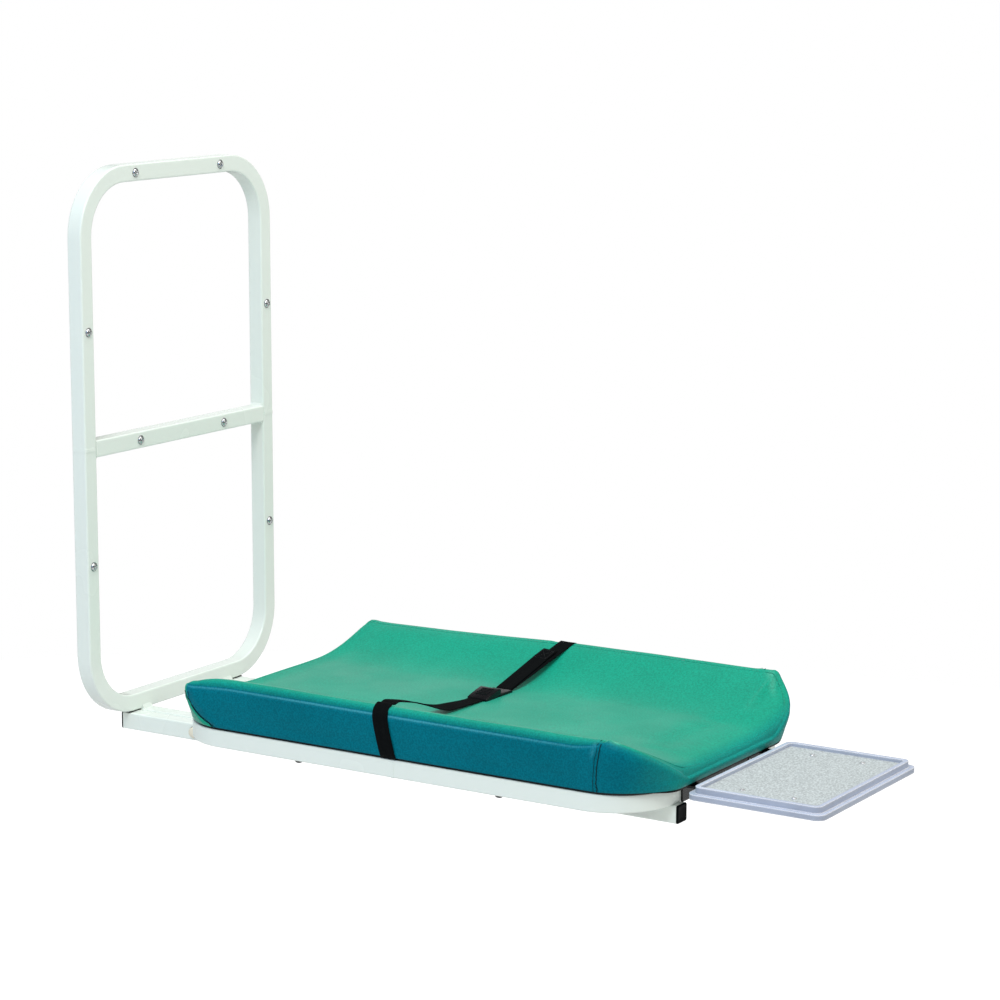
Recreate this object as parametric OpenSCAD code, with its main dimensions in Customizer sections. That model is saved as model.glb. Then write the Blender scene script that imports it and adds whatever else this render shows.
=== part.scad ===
// Wall-mounted folding changing station: a welded frame of square tube that is screwed to the wall,
// and a platform that hangs on two fixed arms and folds up against it, with a mat, strap and tray.
// Millimetres. The origin is the middle of the wall frame on the wall's plane, +Z up, wall at +Y.

/* [Wall frame] */
// Outer width of the wall frame
frame_w = 450; // [420:5:520]
// Outer height of the wall frame
frame_h = 805; // [700:5:900]
// Outside of every square tube
tube = 25; // [24:0.5:28]
// Wall of every square tube
tube_wall = 2; // [1.5:0.1:2.5]
// Rounding along the edges of the square tube
tube_edge_r = 2.5; // [2:0.1:3]
// Outer bend radius of the wall frame's corners
frame_bend_r = 100; // [80:5:110]
// Leg of the fillet welds
weld_leg = 3.5; // [2:0.1:4]
// How far a ground butt weld stands proud of the tube
seam_proud = 0.5; // [0.3:0.1:0.8]
// Width of a butt weld along the tube
seam_w = 5; // [3:0.5:8]

/* [Wall screws] */
// Sideways distance of the screws in the top bar and the crossbar
bar_screw_gap = 200; // [140:5:220]
// Height between the two screws in each side tube
side_screw_gap = 340; // [280:5:400]
// Diameter over a wall screw's thread, behind the wall's plane
screw_d = 6; // [5:0.5:7]
// Diameter of its plain shank, inside the tube
screw_shank_d = 5; // [4:0.5:6]
// Length of a wall screw behind the wall's plane, longer in a soft wall
screw_reach = 7; // [6:1:70]
// Diameter of a wall screw's domed head
screw_head_d = 11.5; // [10:0.5:13]
// Height of a wall screw's domed head
screw_head_h = 3.4; // [2.5:0.1:4]
// Outer diameter of the washer under it
screw_washer_d = 13.5; // [13:0.5:15]
// Thickness of the washer under it
screw_washer_t = 0.8; // [0.6:0.1:1.2]
// Radial clearance of a screw in its hole
screw_play = 0.25; // [0.15:0.05:0.4]

/* [Hinge] */
// Distance of the pivot from the wall
pivot_out = 144; // [141:1:150]
// Room between the pivot bolt and the plug in the arm's front end
nose_room = 1; // [0.5:0.1:2]
// Diameter of the pivot bolt
pivot_d = 8; // [7:0.5:10]
// Radial running clearance of the pivot bolt in its bushes
pivot_play = 0.05; // [0.02:0.01:0.09]
// Wall of a pivot bush
bush_wall = 1.6; // [1.2:0.1:2.2]
// Width of a bush's flange past its sleeve
bush_lip = 3; // [2:0.5:3.5]
// Thickness of a bush's flange
bush_flange_t = 1; // [0.8:0.1:1.4]
// Sideways play of the platform between arm, rail and bolt head
side_play = 0.2; // [0.1:0.05:0.3]
// Diameter of the pivot bolt's head
pivot_head_d = 12.5; // [12:0.5:15]
// Height of the pivot bolt's head
pivot_head_h = 3.6; // [3:0.1:5]
// Wall of the plastic cap on that head
cap_wall = 1.4; // [1:0.1:2]
// Width of the pivot nut across its corners
nut_d = 15; // [14:0.5:17]
// Height of the pivot nut
nut_h = 6.5; // [5:0.5:8]
// Length of bolt thread past the nut
thread_end = 2; // [1:0.5:3]
// Thickness of the rubber stop pads under the bottom bar
pad_t = 0.8; // [0.6:0.1:1.5]
// Gap between a stop pad and the rail at rest
pad_gap = 0.2; // [0.1:0.1:0.4]

/* [Platform] */
// Distance of a rail's outer face from the ring's side
rail_in = 88; // [80:1:100]
// Distance of the rails' rear ends from the wall
rail_back_gap = 8; // [6:1:14]
// How far the rails stand out in front of the ring
rail_front_reach = 8; // [4:1:20]
// Outer width of the ring
ring_w = 450; // [440:5:500]
// Gap between the arms' front ends and the ring
ring_gap = 4; // [3:0.5:6]
// Length of the ring from its rear edge to its front edge
ring_len = 776; // [720:4:840]
// Outer bend radius of the ring's corners
ring_bend_r = 90; // [70:5:95]
// Thickness of a plug's head
plug_head_t = 3; // [2:0.5:4]
// Length of a plug's shank inside its tube
plug_shank = 8; // [6:0.5:10]
// Clearance of a plug's shank in its tube
plug_fit = 0.1; // [0.05:0.05:0.2]

/* [Board and mat] */
// Thickness of the board under the mat
board_t = 9; // [8:0.5:12]
// How far the board lies inside the mat's lower edge
board_inset = 4; // [3.5:0.5:6]
// Gap between the board's edge and the mat's pocket
pocket_gap = 1.5; // [1.2:0.1:2]
// How far the mat's rear lower edge stays ahead of the ring's rear
mat_rear_in = 4; // [2:1:8]
// How far the mat's front lower edge passes the ring
mat_front_over = 6; // [0:1:8]
// Height of the mat's lower edge above the ring
mat_lift = 3; // [2.6:0.1:4]
// Corner radius of the mat's lower outline
mat_corner_r = 85; // [60:5:100]
// Height of the mat's flat middle above the ring
mat_mid_h = 34; // [28:1:38]
// Height of the mat's raised sides above the ring
mat_side_h = 75; // [60:1:76]
// How far the raised sides lean out past the ring
mat_lean = 11; // [4:1:12]
// Distance of the mat's rear upper edge from its lower one
mat_rear_slope = 39; // [30:1:45]
// Corner radius of the raised sides' rear tips
mat_tip_r = 12; // [8:1:16]
// Drop of the raised sides towards their rear tips
mat_tip_drop = 12; // [6:1:16]
// Length of that drop
mat_tip_run = 60; // [40:5:80]
// How far the front nose swells past the mat's lower edge
mat_nose = 7; // [3:0.5:9]
// Height of the front nose's foremost line above the mat's lower edge
mat_nose_h = 10; // [8:0.5:14]
// How far the raised sides' front peaks stay behind the nose
mat_peak_back = 64; // [50:2:80]
// Width of the falling corner in front of each peak
mat_fall_w = 100; // [80:5:120]
// Free space between the mat or the strap and their neighbours
soft_gap = 0.3; // [0.3:0.05:0.5]
// Offset of the four board screws from the ring's middle
board_screw_out = 165; // [120:5:200]
// Diameter of a board screw
board_screw_d = 6; // [5:0.5:7]
// Diameter of a board screw's head
board_head_d = 13; // [11:0.5:15]
// Height of a board screw's head
board_head_h = 5.5; // [4:0.5:6]
// Width of a board nut's flange past its barrel
board_nut_lip = 2; // [1:0.5:2.5]
// Thickness of a board nut's flange
board_nut_t = 1.2; // [1:0.1:1.6]

/* [Strap] */
// Width of the webbing
strap_w = 25; // [20:1:30]
// Thickness of the webbing
strap_t = 1.6; // [1.2:0.1:2]
// How far the strap crosses the mat behind the ring's middle
strap_shift = 10; // [0:1:20]
// How far its loop under the board lies in front of that crossing
strap_slant = 4; // [0:1:8]
// Skew of the strap across the mat, in degrees
strap_skew = 1.4; // [0:0.2:3]
// Width of the buckle
buckle_w = 33; // [32:1:38]
// Length of the buckle's socket
socket_len = 38; // [32:1:44]
// Thickness of the socket at its raised end
socket_t = 13; // [11:0.5:14]
// Thickness of the socket where the near webbing enters
socket_low_t = 5; // [4.5:0.1:6]
// Length of the buckle's tongue outside the socket
tongue_len = 30; // [24:1:36]
// Thickness of the tongue
tongue_t = 5; // [4.5:0.1:6]
// How deep webbing and tongue sit in their pockets
pocket_depth = 8; // [6:0.5:10]
// Length of the strap's free tail beyond the buckle
tail_len = 112; // [60:2:130]
// How far the free tail's end lifts off the webbing
tail_lift = 0.5; // [0:0.5:3]

/* [Tray] */
// Width of the tray over its rim
tray_w = 277; // [250:1:290]
// Depth of the tray over its rim
tray_d = 185; // [160:1:200]
// Gap between the ring and the tray's rim
tray_out = 30.5; // [26:0.5:40]
// Height of the rim above the ring
tray_rim_h = 5.5; // [1:0.5:6]
// Depth of the tray inside its rim
tray_depth = 5.7; // [5.6:0.1:8]
// Height of the tray's whole edge
tray_edge_h = 16.5; // [14.5:0.5:18]
// Width of the rim's upper band
tray_band = 6.5; // [5.5:0.5:8]
// How far the skirt stands out past the rim
tray_skirt_out = 7; // [5:0.5:9]
// Depth of the outer step below the rim
tray_step = 9; // [8:0.5:9.5]
// Wall of the tray
tray_wall = 2; // [1.8:0.1:2.4]
// Outer corner radius of the rim
tray_corner_r = 10; // [8:0.5:14]
// Thickness of the liner on the tray's floor
liner_t = 1; // [0.6:0.1:1.2]
// Gap of the liner to the tray's wall
liner_gap = 1; // [0.5:0.1:2]
// Sideways distance of the bracket's two arms
bracket_gap = 206; // [150:2:220]
// Width of one bracket arm
bracket_arm_w = 20; // [16:1:26]
// Thickness of the bracket
bracket_t = 3; // [2:0.5:4]
// Width of the bracket's plate on the ring
bracket_w = 230; // [226:2:246]
// Distance between the two screws in one bracket arm
tray_screw_gap = 76; // [60:2:90]
// Diameter of a tray screw
tray_screw_d = 4; // [3:0.5:5]
// Diameter of a tray screw's head
tray_head_d = 7; // [6.5:0.5:8]
// Height of a tray screw's head
tray_head_h = 1.8; // [1.4:0.1:2.2]
// Sideways distance of the bracket's screws in the ring
bracket_screw_gap = 150; // [120:5:170]
// Diameter of a bracket screw
bracket_screw_d = 5; // [4:0.5:6]

/* [Hidden] */
$fn = 48;
// Overrun of every cut
cut = 1;
// Heights above the underside of the wall frame
mid_z = frame_h / 2;
top_screw_z = frame_h - tube / 2;
rail_top = -(pad_t + pad_gap);
pivot_z = rail_top - tube / 2;
ring_top = rail_top + tube;
board_top = ring_top + board_t;
mat_low = ring_top + mat_lift;
mat_mid = ring_top + mat_mid_h;
mat_crest = ring_top + mat_side_h;
// Places across the part
rails_w = ring_w - 2 * rail_in;
rail_x = rails_w / 2 - tube / 2;
bush_r = pivot_d / 2 + pivot_play + bush_wall;
arm_gap = bush_flange_t + side_play;
arm_x = rails_w / 2 - tube - arm_gap - tube / 2;
arm_end = pivot_out + pivot_d / 2 + nose_room + plug_shank + plug_head_t;
ring_rear = arm_end + ring_gap;
ring_front = ring_rear + ring_len;
ring_side_x = ring_w / 2 - tube / 2;
ring_mid = (ring_rear + ring_front) / 2;
bead_w = tube - 2 * tube_edge_r;
rivet_r = bracket_screw_d / 2 + tube_wall;
rail_front = ring_front + rail_front_reach;
side_screw_x = frame_w / 2 - tube / 2;
screw_tip = 0.6 * screw_d;
// Shares of the radius and the height along a dome's profile
dome_shares = [[1, 0], [0.97, 0.35], [0.85, 0.62], [0.6, 0.84], [0.3, 0.96], [0, 1]];
screw_places = concat(
  [for (x = [-1, 1], z = [mid_z, top_screw_z]) [x * bar_screw_gap / 2, z]],
  [for (x = [-1, 1], z = [-1, 1]) [x * side_screw_x, mid_z + z * side_screw_gap / 2]]
);
board_screw_places = [for (x = [-1, 1], y = [-1, 1]) [x * ring_side_x, -ring_mid + y * board_screw_out]];

// Moves a piece from heights above the frame's underside to the part's own origin
module placed() { translate([0, 0, -mid_z]) children(); }
// Drawn for the left side at -X, mirrored to the right when s is -1
module on_side(s) { mirror([s < 0 ? 1 : 0, 0, 0]) children(); }
module both_sides() { for (s = [-1, 1]) on_side(s) children(); }

// Flat outline of a rectangle with round corners, exact arcs
module round_rect(w, d, r) {
  square([w - 2 * r, d], center = true);
  square([w, d - 2 * r], center = true);
  for (x = [-1, 1], y = [-1, 1]) translate([x * (w / 2 - r), y * (d / 2 - r)]) circle(r);
}
module tube_section() {
  difference() {
    round_rect(tube, tube, tube_edge_r);
    square(tube - 2 * tube_wall, center = true);
  }
}
// Straight tube along +Z
module tube_run(len) { linear_extrude(len) tube_section(); }
// Half of a round-cornered frame, lying flat: bar at y = 0, legs towards +y
module bent_half(w, leg, r) {
  for (s = [-1, 1]) {
    translate([s * (w / 2 - tube / 2), r, 0]) rotate([-90, 0, 0]) tube_run(leg - r);
    translate([s * (w / 2 - r), r, 0]) rotate(s > 0 ? -90 : 180)
      rotate_extrude(angle = 90) translate([r - tube / 2, 0]) tube_section();
  }
  translate([-(w / 2 - r), tube / 2, 0]) rotate([0, 90, 0]) tube_run(w - 2 * r);
}
// Triangular fillet weld along +X, its right angle at the origin, legs towards -y and +z
module weld_bead(len) {
  rotate([90, 0, 90]) linear_extrude(len) polygon([[0, 0], [-weld_leg, 0], [0, weld_leg]]);
}
// Fillet in front of a tube's rounded lower edge, which it fills
module corner_weld(len) {
  run = weld_leg + tube_edge_r;
  r = tube_edge_r;
  translate([0, r, 0]) difference() {
    rotate([90, 0, 90]) linear_extrude(len) polygon([[0, 0], [-run, 0], [-r, run], [-r, r], [0, r]]);
    translate([-cut, 0, r]) rotate([0, 90, 0]) cylinder(r = r, h = len + 2 * cut);
  }
}
// Collar of weld round the outer half of a tube's butt joint, tube along +Z, wall face at +y
module butt_seam() {
  linear_extrude(seam_w, center = true) difference() {
    round_rect(tube + 2 * seam_proud, tube + 2 * seam_proud, tube_edge_r + seam_proud);
    round_rect(tube, tube, tube_edge_r);
    translate([-tube, tube / 2 - tube_edge_r]) square([2 * tube, tube]);
    translate([tube / 2 - tube_edge_r, -tube]) square([tube, 2 * tube]);
  }
}
// Domed head along +Z on the plane z = 0
module dome(d, h) {
  rotate_extrude() polygon(concat([[0, 0]], [for (p = dome_shares) [p[0] * d / 2, p[1] * h]]));
}
// Dome on a round skirt, along +Z
module skirted_dome(r, low, skirt, rise) {
  rotate_extrude()
    polygon(concat([[0, low], [r, low]], [for (p = dome_shares) [p[0] * r, skirt + p[1] * rise]]));
}
// Plug for the end of a tube along +Z, its head outside from z = 0 up
module end_plug() {
  linear_extrude(plug_head_t) round_rect(tube, tube, tube_edge_r);
  inner = tube - 2 * tube_wall - 2 * plug_fit;
  translate([0, 0, -plug_shank]) linear_extrude(plug_shank) difference() {
    square(inner, center = true);
    square(inner - 2 * tube_wall, center = true);
  }
}

// Wall frame
module screw_holes() {
  for (p = screw_places) translate([p[0], cut, p[1]]) rotate([90, 0, 0])
    cylinder(r = screw_d / 2 + screw_play, h = tube + 2 * cut);
}
module frame_half() {
  translate([0, -tube / 2, 0]) rotate([90, 0, 0]) bent_half(frame_w, mid_z, frame_bend_r);
}
module wall_frame_lower() {
  color("honeydew") placed() difference() { frame_half(); screw_holes(); }
}
module wall_frame_upper() {
  color("honeydew") placed() difference() {
    translate([0, 0, frame_h]) mirror([0, 0, 1]) frame_half();
    screw_holes();
  }
}
module wall_crossbar() {
  color("honeydew") placed() difference() {
    translate([-(frame_w / 2 - tube), -tube / 2, mid_z]) rotate([0, 90, 0]) tube_run(frame_w - 2 * tube);
    screw_holes();
  }
}
module wall_frame_welds() {
  color("honeydew") placed() {
    for (s = [-1, 1]) {
      on_side(s) translate([-side_screw_x, -tube / 2, mid_z]) butt_seam();
      // Fillets above and below each end of the crossbar
      for (z = [-1, 1]) on_side(s) translate([-(frame_w / 2 - tube), 0, mid_z + z * tube / 2])
        mirror([0, 0, z < 0 ? 1 : 0]) translate([0, -tube_edge_r, 0]) rotate(-90)
          mirror([0, 1, 0]) weld_bead(bead_w);
      // Fillet where a fixed arm comes out from under the bottom bar
      translate([s * arm_x - bead_w / 2, -tube, 0]) corner_weld(bead_w);
    }
  }
}
module wall_screws() {
  color("silver") placed() for (p = screw_places) translate([p[0], -tube - screw_washer_t, p[1]]) {
    rotate([90, 0, 0]) dome(screw_head_d, screw_head_h);
    rotate([-90, 0, 0]) {
      cylinder(r = screw_shank_d / 2, h = tube + screw_washer_t);
      translate([0, 0, tube + screw_washer_t]) {
        cylinder(r = screw_d / 2, h = screw_reach - screw_tip);
        translate([0, 0, screw_reach - screw_tip])
          cylinder(r1 = screw_d / 2, r2 = screw_d / 8, h = screw_tip);
      }
    }
  }
}
module wall_screw_washers() {
  color("gainsboro") placed() for (p = screw_places) translate([p[0], -tube, p[1]]) rotate([90, 0, 0])
    difference() {
      cylinder(r = screw_washer_d / 2, h = screw_washer_t);
      translate([0, 0, -cut]) cylinder(r = screw_d / 2 + screw_play, h = screw_washer_t + 2 * cut);
    }
}

// Fixed arms and pivots, drawn for the left side at -X
module hinge_arm(s) {
  color("honeydew") placed() on_side(s) difference() {
    translate([-arm_x, -plug_head_t, -tube / 2]) rotate([90, 0, 0]) tube_run(arm_end - 2 * plug_head_t);
    translate([-arm_x - tube / 2 - cut, -pivot_out, pivot_z]) rotate([0, 90, 0])
      cylinder(r = pivot_d / 2 + screw_play, h = tube + 2 * cut);
  }
}
module hinge_arm_left() { hinge_arm(1); }
module hinge_arm_right() { hinge_arm(-1); }
module arm_end_plugs() {
  color("black") placed() both_sides() translate([-arm_x, 0, -tube / 2]) {
    translate([0, -plug_head_t, 0]) rotate([-90, 0, 0]) end_plug();
    translate([0, -arm_end + plug_head_t, 0]) rotate([90, 0, 0]) end_plug();
  }
}
module stop_pads() {
  pad_len = tube - rail_back_gap;
  color("black") placed() both_sides()
    translate([-rails_w / 2, -tube, -pad_t]) cube([tube, pad_len, pad_t]);
}
module pivot_bolts() {
  grip = bush_flange_t + side_play + tube + arm_gap + tube;
  color("silver") placed() both_sides()
    translate([-rails_w / 2 - bush_flange_t - side_play, -pivot_out, pivot_z]) {
      rotate([0, -90, 0]) dome(pivot_head_d, pivot_head_h);
      rotate([0, 90, 0]) cylinder(r = pivot_d / 2, h = grip + nut_h + thread_end);
    }
}
module pivot_bolt_caps() {
  cavity_r = pivot_head_d / 2 + plug_fit;
  skirt = pivot_head_h / 2;
  color("ivory") placed() both_sides()
    translate([-rails_w / 2 - bush_flange_t - side_play, -pivot_out, pivot_z]) rotate([0, -90, 0])
      difference() {
        skirted_dome(cavity_r + cap_wall, 0, skirt, skirt + cap_wall + plug_fit);
        skirted_dome(cavity_r, -cut, skirt, skirt + plug_fit);
      }
}
module pivot_nuts() {
  color("silver") placed() both_sides()
    translate([-arm_x + tube / 2, -pivot_out, pivot_z]) rotate([0, 90, 0]) difference() {
      cylinder(r = nut_d / 2, h = nut_h, $fn = 6);
      translate([0, 0, -cut]) cylinder(r = pivot_d / 2, h = nut_h + 2 * cut);
    }
}
// One flanged bush, sleeve along +Z from z = 0, flange below it
module bush() {
  difference() {
    union() {
      cylinder(r = bush_r, h = 2 * tube_wall);
      translate([0, 0, -bush_flange_t]) cylinder(r = bush_r + bush_lip, h = bush_flange_t);
    }
    translate([0, 0, -bush_flange_t - cut])
      cylinder(r = pivot_d / 2 + pivot_play, h = bush_flange_t + 2 * tube_wall + 2 * cut);
  }
}
module pivot_bushes() {
  color("dimgray") placed() both_sides() translate([-rail_x, -pivot_out, pivot_z]) for (s = [-1, 1])
    rotate([0, s * 90, 0]) translate([0, 0, -tube / 2]) bush();
}

// Rails, ring and their plugs
module rail(s) {
  run = rail_front - rail_back_gap - 2 * plug_head_t;
  color("aliceblue") placed() on_side(s) difference() {
    translate([-rail_x, -rail_back_gap - plug_head_t, pivot_z]) rotate([90, 0, 0]) tube_run(run);
    translate([-rail_x - tube / 2 - cut, -pivot_out, pivot_z]) rotate([0, 90, 0])
      cylinder(r = bush_r, h = tube + 2 * cut);
  }
}
module rail_left() { rail(1); }
module rail_right() { rail(-1); }
module rail_rear_plugs() {
  color("black") placed() both_sides()
    translate([-rail_x, -rail_back_gap - plug_head_t, pivot_z]) rotate([-90, 0, 0]) end_plug();
}
module rail_front_plugs() {
  color("black") placed() both_sides()
    translate([-rail_x, -rail_front + plug_head_t, pivot_z]) rotate([90, 0, 0]) end_plug();
}
module board_screw_holes() {
  for (p = board_screw_places) translate([p[0], p[1], rail_top - cut])
    cylinder(r = board_screw_d / 2 + screw_play, h = tube + 2 * cut);
}
module bracket_screw_holes() {
  for (s = [-1, 1])
    translate([s * bracket_screw_gap / 2, -ring_front - cut, pivot_z + tube]) rotate([-90, 0, 0])
      cylinder(r = rivet_r, h = tube_wall + 2 * cut);
}
module ring_half() { bent_half(ring_w, (ring_front - ring_rear) / 2, ring_bend_r); }
module ring_front_half() {
  color("aliceblue") placed() difference() {
    translate([0, -ring_front, rail_top + tube / 2]) ring_half();
    board_screw_holes();
    bracket_screw_holes();
  }
}
module ring_rear_half() {
  color("aliceblue") placed() difference() {
    translate([0, -ring_rear, rail_top + tube / 2]) mirror([0, 1, 0]) ring_half();
    board_screw_holes();
  }
}
module platform_welds() {
  color("aliceblue") placed() {
    both_sides() {
      translate([-ring_side_x, -ring_mid, rail_top + tube / 2]) rotate([90, 0, 0]) butt_seam();
      // Fillets between the rails and the inner faces of the ring's end bars
      translate([-rail_x - bead_w / 2, 0, rail_top]) {
        translate([0, -ring_rear - tube, 0]) corner_weld(bead_w);
        translate([0, -ring_front + tube, 0]) mirror([0, 1, 0]) corner_weld(bead_w);
      }
    }
  }
}

// Outlines of the mat: arcs and straights with the same count of points in every loop
arc_steps = 5;
side_steps = 12;
end_steps = 6;
turn_xs = [1, -1, -1, 1];
turn_ys = [1, 1, -1, -1];
// q = [half width, rear y, front y, rear radii x and y, front radii x and y]
function corner_at(c, q) =
  let (rear = turn_ys[c] > 0, rx = rear ? q[3] : q[5], ry = rear ? q[4] : q[6])
  [turn_xs[c] * (q[0] - rx), rear ? q[1] - ry : q[2] + ry, rx, ry];
function on_corner(c, q, turn) =
  let (k = corner_at(c, q), a = 90 * (c + turn))
  [k[0] + k[2] * cos(a), k[1] + k[3] * sin(a)];
function steps_after(c) = c % 2 == 0 ? end_steps : side_steps;
function loop(q) = [
  for (c = [0:3])
    let (far = steps_after(c), a = on_corner(c, q, 1), b = on_corner((c + 1) % 4, q, 0))
    each concat(
      [for (k = [0:arc_steps]) on_corner(c, q, k / arc_steps)],
      [for (k = [1:far - 1]) a + (b - a) * k / far]
    )
];
loop_count = 4 * (arc_steps + 1) + 2 * (side_steps - 1) + 2 * (end_steps - 1);
// The directions that the outline faces at the same points
facing = [
  for (c = [0:3])
    each [for (k = [0:arc_steps + steps_after(c) - 1])
      let (a = 90 * (c + min(1, k / arc_steps))) [cos(a), sin(a)]]
];
mat_rear = ring_rear + mat_rear_in;
mat_front = ring_front + mat_front_over;
top_rear = mat_rear + mat_rear_slope;
nose_front = mat_front + mat_nose;
nose_z = mat_low + mat_nose_h;
peak_y = mat_peak_back - nose_front;
crest_x = ring_w / 2;
low_q = [crest_x, -mat_rear, -mat_front, mat_corner_r, mat_corner_r, mat_corner_r, mat_corner_r];
crest_q = [crest_x, -top_rear, -nose_front, mat_tip_r, mat_tip_r, mat_fall_w, mat_peak_back];
// The mat's lower outline drawn in by a distance
function inset_q(d) = [for (i = [0:6]) low_q[i] + (i == 2 ? d : -d)];
// The crest's outline drawn in by a share of its half width
function inner_q(s) =
  let (e = s * mat_peak_back * 1.4)
  [crest_x * (1 - s), crest_q[1] - e, crest_q[2] + e, for (i = [3:6]) crest_q[i] * (1 - s)];
function clamp(v) = min(1, max(0, v));
function ahead(y) = clamp((peak_y - y) / mat_peak_back);
// The crest falls evenly round each front corner and dips towards the rear tips
function crest_z(y) =
  mat_crest - (mat_crest - nose_z) * pow(asin(ahead(y)) / 90, 1.15)
    - mat_tip_drop * pow(1 - clamp((-top_rear - y) / mat_tip_run), 2);
function crest_half(y) = crest_x - mat_fall_w * (1 - sqrt(1 - pow(ahead(y), 2)));
// The trough is flat and rolls down over the front nose
function trough_z(y) =
  nose_z + (mat_mid - nose_z) * sqrt(1 - pow(1 - clamp((y + nose_front) / mat_peak_back), 2));
flat_share = 0.36;
function slope(u) =
  let (v = clamp((u - flat_share) / (1 - flat_share)))
  1.15 * pow(v, 1.8) - 0.15 * pow(v, 12);
function top_z(x, y) =
  trough_z(y) + max(0, crest_z(y) - trough_z(y)) * slope(abs(x) / max(cut, crest_half(y)));
// Heights and outward leans of the wall between the lower edge and the crest
wall_shares = [[0.12, 0.3], [0.35, 0.62], [0.62, 0.93], [0.8, 1], [0.9, 0.86], [0.97, 0.52]];
// Least share of the outward lean, where the wall is low
least_lift = 0.2;
// Inner loops of the top, from the crest to the middle
top_shares = [0.02, 0.05, 0.1, 0.16, 0.24, 0.34, 0.46, 0.6, 0.76, 0.92];
function at_z(points, z) = [for (p = points) [p[0], p[1], z]];
function on_top(points) = [for (p = points) [p[0], p[1], top_z(p[0], p[1])]];
function wall_point(i, low, crest, w) =
  let (c = crest[i], rise = top_z(c[0], c[1]) - mat_low,
    lift = clamp(rise / (mat_crest - mat_low) + least_lift),
    p = low[i] + (c - low[i]) * (1 - pow(1 - w[0], 2)) + facing[i] * mat_lean * w[1] * lift)
  [p[0], p[1], mat_low + rise * w[0]];
function mat_loops() =
  let (low = loop(low_q), crest = loop(crest_q), pocket = loop(inset_q(board_inset - pocket_gap)))
  concat(
    [at_z(pocket, board_top + soft_gap), at_z(pocket, mat_low), at_z(low, mat_low)],
    [for (w = wall_shares) [for (i = [0:loop_count - 1]) wall_point(i, low, crest, w)]],
    [on_top(crest)],
    [for (s = top_shares) on_top(loop(inner_q(s)))]
  );
module mat_form() {
  loops = mat_loops();
  rows = len(loops);
  n = loop_count;
  mid_y = -(top_rear + nose_front) / 2;
  ends = [[0, mid_y, board_top + soft_gap], [0, mid_y, mat_mid]];
  last = (rows - 1) * n;
  faces = concat(
    [for (j = [0:rows - 2], i = [0:n - 1], h = [0, 1])
      let (a = j * n + i, b = j * n + (i + 1) % n)
      h == 0 ? [a, a + n, b] : [b, a + n, b + n]],
    [for (i = [0:n - 1]) [i, (i + 1) % n, rows * n]],
    [for (i = [0:n - 1]) [last + (i + 1) % n, last + i, rows * n + 1]]
  );
  polyhedron(concat([for (l = loops) each l], ends), faces);
}
module changing_mat() { color("mediumseagreen") placed() mat_form(); }

// Board under the mat, with a groove for the strap and pockets for the nuts
groove_w = strap_w + 4 * soft_gap;
groove_t = strap_t + 2 * soft_gap;
module mat_board() {
  color("black") placed() difference() {
    translate([0, 0, ring_top]) linear_extrude(board_t) board_plan();
    translate([-ring_w, strap_y(0, 0) - groove_w / 2, ring_top - cut])
      cube([2 * ring_w, groove_w, groove_t + cut]);
    for (p = board_screw_places) translate([p[0], p[1], ring_top]) {
      translate([0, 0, -cut]) cylinder(r = board_nut_r, h = board_t + 2 * cut);
      translate([0, 0, board_t - board_nut_t])
        cylinder(r = board_nut_r + board_nut_lip, h = board_nut_t + cut);
    }
  }
}
board_nut_r = board_screw_d / 2 + tube_wall / 2;
// Exact arcs: two crossing slabs and four corner discs
module board_plan() {
  q = inset_q(board_inset);
  rr = q[3];
  fr = q[5];
  translate([-q[0], q[2] + fr]) square([2 * q[0], q[1] - q[2] - rr - fr]);
  translate([-(q[0] - rr), q[1] - rr]) square([2 * (q[0] - rr), rr]);
  translate([-(q[0] - fr), q[2]]) square([2 * (q[0] - fr), fr]);
  for (c = [0:3]) let (k = corner_at(c, q)) translate([k[0], k[1]]) circle(k[2], $fn = 96);
}
module board_screws() {
  color("black") placed() for (p = board_screw_places) translate([p[0], p[1], rail_top]) {
    translate([0, 0, -board_head_h]) cylinder(r = board_head_d / 2, h = board_head_h);
    cylinder(r = board_screw_d / 2, h = tube + board_t - board_nut_t);
  }
}
module board_nuts() {
  color("silver") placed() for (p = board_screw_places) translate([p[0], p[1], ring_top]) difference() {
    union() {
      cylinder(r = board_nut_r, h = board_t - board_nut_t);
      translate([0, 0, board_t - board_nut_t]) cylinder(r = board_nut_r + board_nut_lip, h = board_nut_t);
    }
    translate([0, 0, -cut]) cylinder(r = board_screw_d / 2, h = board_t + 2 * cut);
  }
}

// Strap: bands of webbing along a route in the upright plane across the mat, [x, z]
function unit(a) = a / norm(a);
function outer_side(p, i) =
  let (b = p[i],
    c = i == len(p) - 1 ? unit(b - p[i - 1]) : unit(p[i + 1] - b),
    e = i == 0 ? c : unit(b - p[i - 1]),
    d = unit(c + e))
  [d[1], -d[0]] / (d * c);
// Where the strap crosses the top, and how it slants down the walls to the ring's middle
function strap_y(x, z) =
  let (rise = clamp((z - mat_low) / (mat_crest - mat_low) + (abs(x) < crest_x - cut ? 1 : 0)))
  -ring_mid + strap_shift - strap_slant + (strap_slant - x * tan(strap_skew)) * (z < mat_low ? 0 : rise);
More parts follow.
